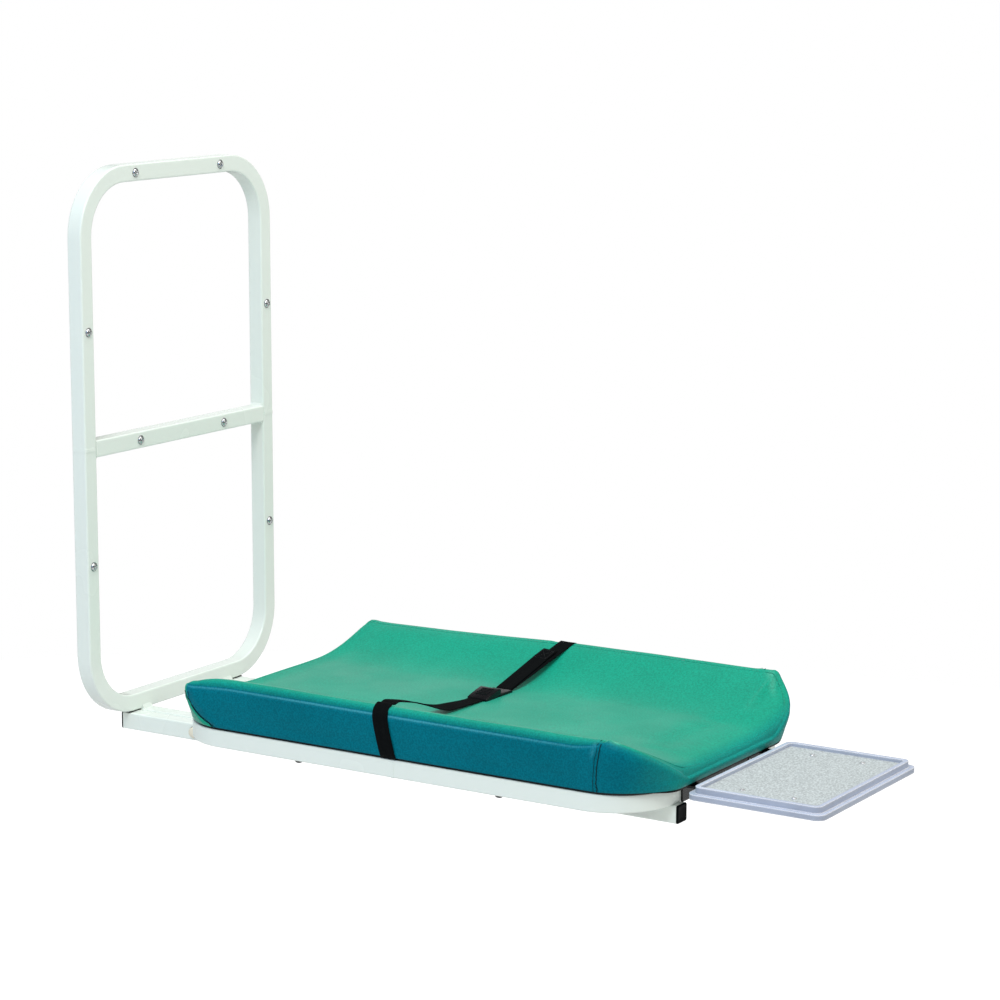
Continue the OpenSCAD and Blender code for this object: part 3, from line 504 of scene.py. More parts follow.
def cord_tree():
    """Runs a round cord along a line, such as a seam's welt."""
    tree, enter = started("Cord along a line", Line="Geometry", Radius="Float", Finish="Material")
    curve = add(tree, "GeometryNodeMeshToCurve", {"Mesh": enter["Line"]})
    profile = add(tree, "GeometryNodeCurvePrimitiveCircle", {"Resolution": 8, "Radius": enter["Radius"]})
    skin = add(tree, "GeometryNodeCurveToMesh", {
        "Curve": curve.outputs[0], "Profile Curve": profile.outputs["Curve"], "Fill Caps": True})
    return ended(tree, skin.outputs[0], enter["Finish"])


TREES = {}


def run_tree(own, maker, **inputs):
    """Runs a node tree on an object with inputs by label, and keeps the plain mesh that comes out."""
    if maker.__name__ not in TREES:
        TREES[maker.__name__] = maker()
    tree = TREES[maker.__name__]
    modifier = own.modifiers.new("nodes", "NODES")
    modifier.node_group = tree
    for socket in tree.interface.items_tree:
        if socket.in_out == "INPUT" and socket.name in inputs:
            modifier[socket.identifier] = inputs[socket.name]
    return apply_modifiers(own)


def repeated(name, shape, places, finish_name):
    """Copies of a shape at (place, turn) pairs, turns as Euler angles in radians, as one plain mesh."""
    own = plain_mesh(name, [place for place, _ in places])
    turn = own.data.attributes.new("turn", "FLOAT_VECTOR", "POINT")
    turn.data.foreach_set("vector", [v for _, t in places for v in t])
    run_tree(own, repeat_tree, Shape=shape, Finish=finish(finish_name))
    bpy.data.objects.remove(shape)
    own.data.shade_smooth()
    return own


def crisp(own, angle=35):
    """Smooth shading that breaks at edges sharper than an angle, kept in the mesh."""
    own.data.shade_smooth()
    own.data.set_sharp_from_angle(angle=math.radians(angle))
    return own


# A stitch's places along its length, its thickness and how far it sinks there, as shares of length and thread
STITCH = ((-0.5, 0.6, 0.7), (-0.36, 1, 0.1), (0, 1, 0), (0.36, 1, 0.1), (0.5, 0.6, 0.7))
# How far apart stitches start, in stitch lengths
STITCH_PITCH = 1.35


def stitch_run(name, points, ups, finish_name, length, thread):
    """Sewn stitches along a line that lies on a surface, as one mesh."""
    places = []
    steps = even_line(np.hstack([points, ups]), length * STITCH_PITCH)
    for a, b in zip(steps[:-1], steps[1:]):
        run = Vector(b[:3] - a[:3]).normalized()
        up = Vector(a[3:]).normalized()
        side = up.cross(run).normalized()
        places.append(((a[:3] + b[:3]) / 2, Matrix((run, side, run.cross(side))).transposed().to_euler()))
    rings = [[(x * length, y, z - drop * thread) for y, z in circle(share * thread / 2, 6)]
             for x, share, drop in STITCH]
    return repeated(name, swept("stitch_shape", rings, finish_name), places, finish_name)


# Screws, plugs and other fixings


# A domed head's rings, as shares of its radius and of its height
DOME = ((0.2, 0.985), (0.42, 0.94), (0.62, 0.84), (0.8, 0.66), (0.92, 0.42), (0.985, 0.18), (1.0, 0.04),
        (0.97, 0.0))
# The cross recess: its reach as a share of the radius, its arms' half width of the diameter, its depth of the
# height
RECESS_REACH, RECESS_ARM, RECESS_DEPTH = 0.62, 0.05, 0.55


def domed_screw(name, head_d, head_h, shank_d, length):
    """A domed screw head with a cross recess on the plane z = 0, its shank below, sizes in metres."""
    n = 32
    rings = []
    for share, height in DOME:
        drop = head_h * RECESS_DEPTH * max(0.0, 1 - share / RECESS_REACH)
        rings.append([(x, y, head_h * height - (drop if min(abs(x), abs(y)) < head_d * RECESS_ARM else 0))
                      for x, y in circle(share * head_d / 2, n)])
    for depth, radius in ((0.0, shank_d / 2), (-length * 0.9, shank_d / 2), (-length, shank_d / 8)):
        rings.append([(x, y, depth) for x, y in circle(radius, n)])
    verts = [(0, 0, head_h * 0.4)] + [v for ring in rings for v in ring]
    faces = [(0, 1 + i, 1 + (i + 1) % n) for i in range(n)]
    faces += [(1 + a, 1 + d, 1 + c, 1 + b) for a, b, c, d in joined(len(rings), n)]
    faces.append(tuple(len(verts) - n + i for i in reversed(range(n))))
    return new_piece(name, verts, faces, "chrome")


TUBE, TUBE_R, TUBE_WALL = 25 * MM, 2.5 * MM, 2 * MM
PLUG_HEAD, PLUG_SHANK = 3 * MM, 8 * MM
# A plug's head from its middle to its foot: millimetres beyond the tube's side, and shares of its height
PLUG_CUSHION = ((-5.5, 0.86), (-2.2, 0.98), (-1.2, 1), (-0.4, 0.86), (0, 0.6), (0, 0.12), (-0.3, 0))
FACING = {"-y": (math.pi / 2, 0, 0), "+y": (-math.pi / 2, 0, 0)}


def tube_plug(name):
    """A plug for a square tube: its cushioned head above z = 0, its shank with four ribs below."""
    steps = 6

    def square(grow, r):
        half = TUBE / 2 + grow
        return [(sx * (half - r) + r * math.cos(a), sy * (half - r) + r * math.sin(a))
                for k, (sx, sy) in enumerate(((1, 1), (-1, 1), (-1, -1), (1, -1)))
                for a in [math.pi / 2 * (k + i / steps) for i in range(steps + 1)]]

    # Each ring's growth beyond the tube's side, its height and its corners' radius
    profile = [(grow * MM, PLUG_HEAD * rise, TUBE_R) for grow, rise in PLUG_CUSHION]
    inner = -(TUBE_WALL + 0.1 * MM)
    for k in range(4):
        z = -PLUG_SHANK * (k + 0.2) / 4
        profile += [(inner - groove * MM, z - PLUG_SHANK * drop, TUBE_R * 0.6)
                    for drop, groove in ((0, 0), (0.1, 0), (0.14, 0.7), (0.22, 0.7))]
    rings = [[(x, y, z) for x, y in square(grow, r)] for grow, z, r in profile]
    return crisp(swept(name, rings, "plug"), 50)


def plug_places(node, ends):
    """Where the plugs of a node sit: at both sides of its box, at one or both of its ends."""
    low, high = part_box(node)
    middle = (low.z + high.z) / 2
    places = []
    for side in (low.x + TUBE / 2, high.x - TUBE / 2):
        for end in ends:
            y = low.y + PLUG_HEAD if end == "-y" else high.y - PLUG_HEAD
            places.append((Vector((side, y, middle)), FACING[end]))
    return places


# Where the screws sit, in millimetres: across and up on the wall frame, across and along under the ring
WALL_SCREWS = [(x * 100, z) for x in (-1, 1) for z in (0, 390)] + [
    (x * 212.5, z * 170) for x in (-1, 1) for z in (-1, 1)]
RING_MIDDLE = -552
BOARD_SCREWS = [(x * 212.5, RING_MIDDLE + y * 165) for x in (-1, 1) for y in (-1, 1)]
WALL_HEAD_Y = -25.8
# Each screw's head diameter and height, shank diameter and length
WALL_SCREW, BOARD_SCREW = (11.5, 3.4, 5, 32.8), (13, 5.5, 6, 32)
TRAY_SCREW, BRACKET_SCREW = (7, 1.8, 4, 10), (10, 2.5, 5, 13)


class StationFixings(bpy.types.Operator):
    """Makes the screws and plugs, and gives the caps, bushes, nuts and pads their finish"""
    bl_idname = "station.fixings"
    bl_label = "Fixings"

    def execute(self, context):
        down, toward = math.pi, FACING["-y"]
        wall = [(Vector((x * MM, WALL_HEAD_Y * MM, z * MM)), (toward[0], k * 0.7, 0.0))
                for k, (x, z) in enumerate(WALL_SCREWS)]
        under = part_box("board_screws")[0].z + BOARD_SCREW[1] * MM
        board = [(Vector((x * MM, y * MM, under)), (down, 0, k * 0.5))
                 for k, (x, y) in enumerate(BOARD_SCREWS)]
        low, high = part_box("tray_screws")
        inset = TRAY_SCREW[0] / 2 * MM
        tray = [(Vector((x, y, high.z - TRAY_SCREW[1] * MM)), (0, 0, x * 9 + y * 7))
                for x in (low.x + inset, high.x - inset) for y in (low.y + inset, high.y - inset)]
        low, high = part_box("bracket_screws")
        inset = BRACKET_SCREW[0] / 2 * MM
        bracket = [(Vector((x, low.y + BRACKET_SCREW[1] * MM, (low.z + high.z) / 2)), toward)
                   for x in (low.x + inset, high.x - inset)]
        for kind, lengths, places, body, slot, finish_name in (
                ("wall", WALL_SCREW, wall, WALL, "chrome_screws", "chrome"),
                ("board", BOARD_SCREW, board, PLATFORM, "black_steel", "black_steel"),
                ("tray", TRAY_SCREW, tray, PLATFORM, "chrome_screws", "bright_chrome"),
                ("bracket", BRACKET_SCREW, bracket, PLATFORM, "chrome_screws", "chrome")):
            shape = domed_screw("screw_shape", *(length * MM for length in lengths))
            screws = crisp(repeated(kind + "_screw_set", shape, places, finish_name))
            settle(screws, body, slot, kind + "_screws")
        for name, node, body, ends in (("arm_plug_set", "arm_end_plugs", WALL, ("-y", "+y")),
                                       ("rail_rear_plug_set", "rail_rear_plugs", PLATFORM, ("+y",)),
                                       ("rail_front_plug_set", "rail_front_plugs", PLATFORM, ("-y",))):
            plugs = repeated(name, tube_plug("plug_shape"), plug_places(node, ends), "plug")
            settle(crisp(plugs, 50), body, "black_plastic", node)
        paint("chrome", "wall_screw_washers")
        paint("zinc", "pivot_bolts", "pivot_nuts", "board_nuts", "tray_nuts", "bracket_rivet_nuts")
        paint("rubber", "stop_pads")
        paint("cap", "pivot_bolt_caps")
        paint("nylon", "pivot_bushes")
        return {"FINISHED"}


class StationTubes(bpy.types.Operator):
    """Enamels the wall frame, arms, rails and ring"""
    bl_idname = "station.tubes"
    bl_label = "Enamelled tubes"

    def execute(self, context):
        paint("enamel", "wall_frame_upper", "wall_frame_lower", "wall_crossbar", "wall_frame_welds",
              "hinge_arm_left", "hinge_arm_right", "rail_left", "rail_right", "ring_rear_half",
              "ring_front_half", "platform_welds")
        return {"FINISHED"}


# Mat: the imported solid's own outlines and heights, in millimetres above the wall frame's underside

MID_Z = 402.5
HALF_W = 225.0
# Heights of the foot, the floor, the crests and the nose, and of the pocket's roof over the board
LOW_Z, FLOOR_Z, CREST_Z, NOSE_Z = 27.0, 58.0, 99.0, 37.0
UNDER_Z = 33.3
# Rear and front ends of the outlines at foot and crest, and their corners' radii, FALL_W at the front
LOW_REAR, LOW_FRONT = -168.0, -946.0
TOP_REAR, TOP_FRONT = -207.0, -953.0
LOW_R, TIP_R = 85.0, 3.0
FALL_W = 100.0
# How far the front peaks lie behind the nose, left and right, and the crests' heights along the mat
PEAK_BACK = (66.0, 46.0)
CREST_LEFT = [(-953, 99), (-889, 99), (-600, 99.5), (-330, 100.5), (-267, 100), (-237, 96.5), (-207, 88)]
CREST_RIGHT = [(-953, 104), (-907, 104), (-850, 102.8), (-700, 103), (-552, 101.5), (-400, 96.5),
               (-267, 93.5), (-207, 92.5)]
# How far the walls lean out, the rear end flares, the floor lifts at the rear and the nose's foot droops
LEAN, FLARE, REAR_LIFT, DROOP = 11.0, 6.0, 3.5, 6.0
# How the crest falls from its front peaks to the nose, left and right: under 1 it drops at once
FALL_POWER = (1.7, 0.75)
# Across the mat: the flat floor's share of its half width, and the rise beside it as shares and powers
FLAT_SHARE = 0.36
RISE_SHARES = ((1.15, 1.8), (-0.15, 12))
# Height of the black binding round the mat's foot at the sides, and of its band of painted shade over the
# nose
EDGING, NOSE_SHADE_BAND = 0.8, 4.0
POCKET_IN = 2.5
WALL_SHARES = [(0, 0), (0.12, 0.3), (0.35, 0.62), (0.62, 0.93), (0.8, 1), (0.9, 0.86), (0.97, 0.52), (1, 0)]
# How far the seam between the side and top panels runs below the crest
BAND_DROP = 9.0
# How many steps an outline takes round a corner, along a side and along an end
ARC, SIDE, END = 20, 90, 30
# Where the skin's loops lie: up to the seam, from there to the crest, and from the crest to the middle
BELOW_SEAM = (0, 0.01, 0.035, 0.08, *np.linspace(0.14, 0.9, 10), 0.96, 0.99)
ABOVE_SEAM = (0.06, 0.25, 0.45, 0.65, 0.82, 0.94, 1.0)
INWARDS = (0.006, 0.014, 0.026, 0.042, *np.linspace(0.06, 0.97, 26) ** 1.25)
INWARD_REACH = 89.6


def outline(half, rear, front, rear_r, front_rx, front_ry, flare=0.0):
    """A round-cornered outline as points in the plane, the same count for every outline."""
    left, right = front_ry
    corners = ((half - rear_r, rear - rear_r, rear_r, rear_r),
               (-half + rear_r, rear - rear_r, rear_r, rear_r),
               (-half + front_rx, front + left, front_rx, left),
               (half - front_rx, front + right, front_rx, right))
    turned = [[(x + rx * math.cos(a), y + ry * math.sin(a))
               for a in [math.pi / 2 * (k + i / ARC) for i in range(ARC + 1)]]
              for k, (x, y, rx, ry) in enumerate(corners)]
    points = []
    for k, arc_points in enumerate(turned):
        points += arc_points
        a, b = np.array(arc_points[-1]), np.array(turned[(k + 1) % 4][0])
        steps = END if k % 2 == 0 else SIDE
        points += [tuple(a + (b - a) * i / steps) for i in range(1, steps)]
    points = np.array(points)
    points[:, 0] += np.sign(points[:, 0]) * flare * way(points[:, 1], rear - 45, rear) ** 2
    return points


def foot_outline(inset):
    """The mat's outline at its foot, or an inset inside it."""
    r = LOW_R - inset
    return outline(HALF_W - inset, LOW_REAR - inset, LOW_FRONT + inset, r, r, (r, r))


def top_outline(share):
    """The mat's outline at its crest, or a share of the way from there to the middle."""
    left, inset = 1 - share, share * INWARD_REACH
    return outline(HALF_W * left, TOP_REAR - inset, TOP_FRONT + inset, TIP_R * left, FALL_W * left,
                   [back * left for back in PEAK_BACK], FLARE * left)


def from_left(pair, x):
    """A value that changes from the left side's to the right side's."""
    return pair[0] + (pair[1] - pair[0]) * way(x, -HALF_W, HALF_W)


def ahead_share(x, y):
    """How far a place lies ahead of the front peaks, 1 at the nose."""
    return way(y, TOP_FRONT + from_left(PEAK_BACK, x), TOP_FRONT)


def crest_height(x, y):
    """Height of the raised sides' crests at a place along the mat."""
    crest = from_left([np.interp(y, *smooth_line(knots, 200).T) for knots in (CREST_LEFT, CREST_RIGHT)], x)
    return crest - (crest - NOSE_Z) * (np.arcsin(ahead_share(x, y)) * 2 / np.pi) ** from_left(FALL_POWER, x)


def top_height(x, y):
    """Height of the mat's top: a flat floor that rises to both crests and rolls down over the nose."""
    roll = np.sqrt(1 - ahead_share(x, y) ** 2)
    half = HALF_W - FALL_W * (1 - roll)
    floor = NOSE_Z + (FLOOR_Z - NOSE_Z) * roll + REAR_LIFT * way(y, TOP_REAR - 50, TOP_REAR) ** 2
    v = way(np.abs(x) / np.maximum(1, half), FLAT_SHARE, 1)
    rise = sum(share * v ** power for share, power in RISE_SHARES)
    return floor + np.maximum(0, crest_height(x, y) - floor) * rise


def lean_share(height):
    """How far the wall leans out at a share of its height."""
    curve = smooth_line(WALL_SHARES, 200)
    return np.interp(height, curve[:, 0], curve[:, 1])


def mat_rows():
    """Loops of the mat's skin from the pocket under it, up its walls and over the crest to the middle.

    Also gives each point's panel: 1 on the side panels below their seam, fading from 0.7 to 0 over the rolled
    edge above it as painted shade, and 0 elsewhere."""
    low, crest, pocket = foot_outline(0), top_outline(0), foot_outline(POCKET_IN)
    ahead = np.roll(low, -1, axis=0) - np.roll(low, 1, axis=0)
    facing = unit(np.stack([ahead[:, 1], -ahead[:, 0]], axis=1))
    rise = top_height(crest[:, 0], crest[:, 1]) - LOW_Z
    peak = TOP_FRONT + from_left(PEAK_BACK, crest[:, 0])
    taper = way(crest[:, 1], peak - 4, peak + 41) * way(crest[:, 1], TOP_REAR - 1, TOP_REAR - 41)
    droop = DROOP * np.clip(-facing[:, 1], 0, 1) ** 10
    lean = LEAN * np.clip(rise / (CREST_Z - LOW_Z) + 0.2, 0, 1) * np.where(facing[:, 1] > 0.01, 0.45, 1.0)
    lean *= 1 - 0.4 * np.clip(-facing[:, 1] * 4, 0, 1) * (facing[:, 0] > 0)
    seam = 1 - np.maximum(BAND_DROP * taper ** 0.7, 0.6) / rise
    rows = [np.column_stack([pocket, np.full(len(low), z)]) for z in (UNDER_Z, LOW_Z + 0.3)]
    panels = [0.0, 0.0]
    walls = [(seam * share, 1.0) for share in BELOW_SEAM]
    # Above the seam the side colour fades out over the rolled edge: painted shade
    walls += [(seam + (1 - seam) * share, 0.7 * (1 - share) ** 0.6) for share in ABOVE_SEAM]
    for height, panel in walls:
        flat = low + (crest - low) * (1 - (1 - height) ** 2)[:, None]
        flat += facing * (lean * lean_share(height) + 0.8 * droop * (1 - height))[:, None]
        rows.append(np.column_stack([flat, LOW_Z + rise * height - droop * (1 - height) ** 2]))
        panels.append(panel)
    for share in INWARDS:
        inner = top_outline(share)
        rows.append(np.column_stack([inner, top_height(inner[:, 0], inner[:, 1])]))
        panels.append(0.0)
    return np.array(rows), np.repeat(np.array(panels)[:, None], len(low), axis=1)


def mat_faces(rows):
    """Quads between the loops, and across the first and the last loop from each side to the other."""
    count, n = rows.shape[:2]
    faces = joined(count, n)
    rear = ARC + END // 2
    for start, turned in ((0, False), ((count - 1) * n, True)):
        for k in range(n // 2):
            quad = [start + place % n for place in (rear + k, rear + k + 1, rear - k - 1, rear - k)]
            if k == 0:
                quad = quad[:3]
            if k == n // 2 - 1:
                quad = quad[:2] + quad[3:]
            faces.append(tuple(reversed(quad)) if turned else tuple(quad))
    return faces


def row_frame(points):
    """Millimetres above the wall frame's underside to metres in the part's own frame."""
    return (np.array(points, float) - np.array([0, 0, MID_Z])) * MM


def height_mm(place):
    """Heights in millimetres above the wall frame's underside."""
    return place[:, 2] / MM + MID_Z


def as_rows(items, key):
    """A vector of every item as an array."""
    flat = np.empty(len(items) * 3, np.float32)
    items.foreach_get(key, flat)
    return flat.reshape(-1, 3).astype(float)


def positions(mesh):
    """The mesh's points as an array."""
    return as_rows(mesh.vertices, "co")


def normals(mesh):
    """The mesh's point normals as an array."""
    return as_rows(mesh.vertex_normals, "vector")


def mark(mesh, name, values):
    """Stores a value per point under a name."""
    if name not in mesh.attributes:
        mesh.attributes.new(name, "FLOAT", "POINT")
    mesh.attributes[name].data.foreach_set("value", np.asarray(values, np.float32).ravel())


def put(mesh, place):
    """Moves the mesh's points."""
    mesh.vertices.foreach_set("co", np.asarray(place, np.float32).ravel())
    mesh.update()


def surface_of(mesh):
    """The mesh's surface, to find the nearest places on it."""
    return BVHTree.FromPolygons([v.co for v in mesh.vertices], [tuple(p.vertices) for p in mesh.polygons])


def near_line(points, line):
    """Distance of each point from a line of points, and the share of the way along it."""
    best, share = np.full(len(points), np.inf), np.zeros(len(points))
    for k, (a, b) in enumerate(zip(line[:-1], line[1:])):
        d = b - a
        t = np.clip(((points - a) @ d) / max(d @ d, 1e-12), 0, 1)
        away = np.linalg.norm(points - a - t[:, None] * d, axis=1)
        share = np.where(away < best, (k + t) / (len(line) - 1), share)
        best = np.minimum(best, away)
    return best, share


# The simulation's frames, and the steps in which it holds the mat's points
FRAMES, HOLD_STEPS = 20, 20
CLOTH = {"quality": 4, "mass": 0.3, "tension_stiffness": 12, "compression_stiffness": 12,
         "shear_stiffness": 5, "bending_stiffness": 1.5, "use_pressure": True, "uniform_pressure_force": 4}
NEIGHBOURS, NEIGHBOUR_BLUR = 16, 5 * MM


def swelling(own, seams, cell, limit):
    """How Blender's cloth swells a copy of the pad under inner pressure: places, and moves up to a limit.

    The underside is held, and the seams nearly so."""
    copy = placed("swelling", own.data.copy())
    remesh = copy.modifiers.new("even", "REMESH")
    remesh.mode, remesh.voxel_size = "VOXEL", cell
    apply_modifiers(copy)
    out = normals(copy.data)
    start = positions(copy.data) - out * limit * 0.4
    put(copy.data, start)
    away = np.min([near_line(start, seam)[0] for seam in seams], axis=0)
    hold = np.clip(1 - away / (10 * MM), 0, 0.85)
    hold[height_mm(start) < UNDER_Z + 2] = 1.0
    held = copy.vertex_groups.new(name="held")
    for step in range(1, HOLD_STEPS + 1):
        found = np.nonzero(np.round(hold * HOLD_STEPS) == step)[0]
        if len(found):
            held.add([int(i) for i in found], step / HOLD_STEPS, "REPLACE")
    cloth = copy.modifiers.new("swell", "CLOTH")
    for key, value in CLOTH.items():
        setattr(cloth.settings, key, value)
    cloth.settings.vertex_group_mass = held.name
    cloth.settings.effector_weights.gravity = 0
    cloth.point_cache.frame_start, cloth.point_cache.frame_end = 1, FRAMES
    for step in range(1, FRAMES + 1):
        bpy.context.scene.frame_set(step)
    graph = bpy.context.evaluated_depsgraph_get()
    move = positions(copy.evaluated_get(graph).data) - start
    far = np.linalg.norm(move, axis=1)
    move *= (limit * np.tanh(far / limit) / np.maximum(far, 1e-9))[:, None]
    move -= out * (move * out).sum(axis=1)[hold < 0.8].mean() * (1 - hold)[:, None]
    bpy.context.scene.frame_set(1)
    mesh = copy.data
    bpy.data.objects.remove(copy)
    bpy.data.meshes.remove(mesh)
    return start, move


def carried(place, start, move):
    """The moves of the nearest simulated points, blended by distance, for each point."""
    tree = KDTree(len(start))
    for i, p in enumerate(start):
        tree.insert(p, i)
    tree.balance()
    out = np.zeros_like(place)
    for i, p in enumerate(place):
        found = tree.find_n(p, NEIGHBOURS)
        weight = np.array([1 / (d + NEIGHBOUR_BLUR) ** 2 for _, _, d in found])
        out[i] = (move[[k for _, k, _ in found]] * weight[:, None]).sum(axis=0) / weight.sum()
    return out


def draped(skin, points, gap):
    """Points moved along the nearest face's normal until they lie a gap outside the surface."""
    found = [skin.find_nearest(Vector(p)) for p in points]
    return np.array([place + normal * gap for place, normal, _, _ in found])


# Seams and folds on the left side, [across, along, up]
FRONT_SEAM = [(-224.5, -887, 98.6), (-235.5, -883, 80), (-235.5, -879, 58), (-230, -876, 40),
              (-226, -875, 28)]
REAR_SEAM = [(-226, -208, 87.6), (-229, -208.5, 74), (-231, -211, 60), (-229, -221, 45), (-226.5, -238, 33),
             (-225, -247, 27.5)]
CORNER_RIDGE = [(-223, -893, 97), (-212, -915, 88), (-192, -934, 74), (-165, -946, 58), (-140, -951, 45)]
FAR_RIDGE = [(224, -903, 101), (223, -912, 89), (219, -919, 80), (212, -926, 71), (202, -932, 62)]
# Folds where a paler highlight is painted on the vinyl: line, width and strength
HIGHLIGHT_FOLDS = [
    ([(223, -898, 101), (212, -903, 91), (201, -909, 79), (192, -918, 67), (184, -928, 57)], 4.5, 0.75),
    ([(-228, -878, 97), (-233, -876, 88), (-235, -873, 78)], 3.0, 0.4),
    ([(-221, -893, 96), (-215, -903, 88), (-207, -914, 80)], 3.0, 0.4)]
TROUGH_CREASE = [(-205, -905, 80), (-170, -912, 66), (-130, -905, 58.5)]

# A seam's groove, and the swell beside it with its share of the seam's depth and of the puckers
GROOVE_W, SWELL_AWAY, SWELL_W = 2.4 * MM, 7 * MM, 4 * MM
SWELL_SHARE, PUCKER_SHARE = 0.3, 0.12
# Puckers beside the seams: pitch in millimetres, strength and phase
PUCKERS = ((17, 1.0, 0.0), (11, 0.6, 1.0))
# Folds that stand up and the valleys beside them, and creases: height or depth, width and distance
RIDGE_H, RIDGE_W = 1.6 * MM, 4 * MM
VALLEY_DEPTH, VALLEY_W, VALLEY_AWAY = 0.5 * MM, 6 * MM, 11 * MM
CREASE_DEPTH, CREASE_W = 1.6 * MM, 5 * MM
# The slack of the vinyl over the foam
SLACK_H, SLACK_SIZE = 0.9 * MM, 85 * MM
# The strap's dents in millimetres: its middle line where it crosses the mat, where a dent begins and is whole
# beside that line, and where and how widely it bites over the mat's edge
DENT_Y, DENT_STARTS, DENT_WHOLE = RING_MIDDLE + 10, 17.0, 9.0
DENT_X, DENT_W = 228.0, 14.0


def mirrored(line):
    """A left line and its mirror image on the right, as smooth lines in the part's frame."""
    return [row_frame(smooth_line([(side * x, y, z) for x, y, z in line], 40)) for side in (1, -1)]


def faded(share, power):
    """1 along a line, fading to nothing at both its ends."""
    return np.sin(np.pi * np.clip(share, 0.02, 0.98)) ** power


class StationMat(bpy.types.Operator):
    """Makes the padded mat: swollen vinyl skin, drawn-in seams and their stitched welts"""
    bl_idname = "station.mat"
    bl_label = "Padded mat"

    def execute(self, context):
        sizes = context.scene.station_sizes
        rows, panels = mat_rows()
        mat = plain_mesh("padded_mat", row_frame(rows.reshape(-1, 3)), faces=mat_faces(rows))
        mesh = mat.data
        mark(mesh, "side_panel", panels)
        mesh.materials.append(finish("vinyl"))
        face_outwards(mesh)
        seams = mirrored(FRONT_SEAM) + mirrored(REAR_SEAM)
        edges = self.edge_lines(rows, panels)
        place = positions(mesh)
        start, move = swelling(mat, seams + edges, sizes.voxel, sizes.swell)
        move = carried(place, start, move)
        # The four pointed corners and the top edge keep their places
        tips = np.min([np.linalg.norm(place - seam[0], axis=1) for seam in seams], axis=0)
        hold = (1 - bell(tips, 30 * MM)) * (1 - bell(near_line(place, self.rim(rows))[0], 24 * MM))
        hold *= np.clip((height_mm(place) - LOW_Z) / 12, 0, 1)
        put(mesh, place + move * hold[:, None])
        fine = mat.modifiers.new("fine", "SUBSURF")
        fine.levels = fine.render_levels = 1
        apply_modifiers(mat)
        mesh = mat.data
        place, out = positions(mesh), normals(mesh)
        put(mesh, place + out * self.detail(place, out, seams, edges, sizes)[:, None])
        place, out = positions(mesh), normals(mesh)
        self.colour_panels_and_shade(mesh, place, out, seams)
        self.foot_shade_and_highlights(mesh, place, out, edges)
        mesh.shade_smooth()
        settle(mat, PLATFORM, "mat_vinyl", "changing_mat")
        skin = surface_of(mesh)
        self.welts(skin, seams)
        for k, seam in enumerate(seams):
            beside = even_line(seam, 2 * MM)[1:-1] + np.array([0, (4.5 if k < 2 else -4.5) * MM, 0])
            ups = [skin.find_nearest(Vector(p))[1] for p in beside]
            settle(stitch_run("seam_stitches_%d" % k, draped(skin, beside, 0.15 * MM), np.array(ups), "seam",
                              sizes.stitch, sizes.thread), PLATFORM, "mat_vinyl")
        return {"FINISHED"}

    @staticmethod
    def edge_lines(rows, panels):
        """The seams between the side and top panels, which run along both crests."""
        seam = rows[int(np.nonzero(panels[:, 0] == 1)[0][-1])]
        lines = []
        for side, back in zip((-1, 1), PEAK_BACK):
            x, y = seam[:, 0], seam[:, 1]
            run = seam[(x * side > 150) & (y < TOP_REAR - 1) & (y > TOP_FRONT + back)]
            lines.append(row_frame(run[np.argsort(run[:, 1])]))
        return lines

    @staticmethod
    def rim(rows):
        """The mat's top edge, all the way round, a point about every centimetre."""
        crest = rows[-len(INWARDS) - 1]
        return row_frame(even_line(np.vstack([crest, crest[:1]]), 10))

    @staticmethod
    def detail(place, out, seams, edges, sizes):
        """Moves along the normal: seams drawn in with puckers beside them, folds, and the strap's dents."""
        push = np.zeros(len(place))
        for seam, depth in [(s, 1.0) for s in seams] + [(e, 0.5) for e in edges]:
            away, share = near_line(place, seam)
            run = share * run_along(seam)[-1] / MM
            pucker = sum(rise * np.sin(run * 2 * math.pi / pitch + phase) for pitch, rise, phase in PUCKERS)
            swell = (SWELL_SHARE + PUCKER_SHARE * pucker) * bell(away - SWELL_AWAY, SWELL_W)
            push += depth * sizes.seam_depth * (swell - bell(away, GROOVE_W))
        for fold in (mirrored(CORNER_RIDGE)[0], mirrored(FAR_RIDGE)[0]):
            away, _ = near_line(place, fold)
            push += RIDGE_H * bell(away, RIDGE_W) - VALLEY_DEPTH * bell(away - VALLEY_AWAY, VALLEY_W)
        for fold in mirrored(TROUGH_CREASE):
            away, share = near_line(place, fold)
            push -= CREASE_DEPTH * bell(away, CREASE_W) * faded(share, 1)
        x, y, up = place[:, 0] / MM, place[:, 1] / MM, height_mm(place)
        strap = way(np.abs(y - DENT_Y + x * math.tan(SKEW)), DENT_STARTS, DENT_WHOLE)
        push -= sizes.strap_dent * strap ** 2 * bell(np.abs(x) - DENT_X, DENT_W) * (up > LOW_Z + 15)
        slack = np.array([noise.noise(Vector(p) / SLACK_SIZE) for p in place])
        push += SLACK_H * slack * np.clip(out[:, 2] + 0.2, 0, 1)
        push[up < LOW_Z + 2] = 0
        return push

    @staticmethod
    def colour_panels_and_shade(mesh, place, out, seams):
        """Keeps the side panels' colour between their seams; paints shade with it round the front corners and
        nose.
        """
        panel = np.empty(len(place), np.float32)
        mesh.attributes["side_panel"].data.foreach_get("value", panel)
        front_y, rear_y = (np.interp(place[:, 2], seam[::-1, 2], seam[::-1, 1])
                           for seam in (seams[0], seams[2]))
        # Painted shade: ahead of the front seam the side colour fades as the surface turns from the side to
        # the front
        facing_shade = 0.5 + 0.5 * way(np.abs(out[:, 0]), 0.15, 0.85) ** 0.8
        ahead = past(front_y, place[:, 1], 2 * MM)
        panel *= (1 - ahead + ahead * facing_shade) * (1 - past(place[:, 1], rear_y, 1.2 * MM))
        # Painted shade: the nose's lip darkens towards the side colour over its last 24 mm
        painted_nose_shade = way(place[:, 1] / MM, TOP_FRONT + 24, TOP_FRONT) ** 1.5
        mark(mesh, "side_panel", np.maximum(panel, 0.5 * painted_nose_shade))

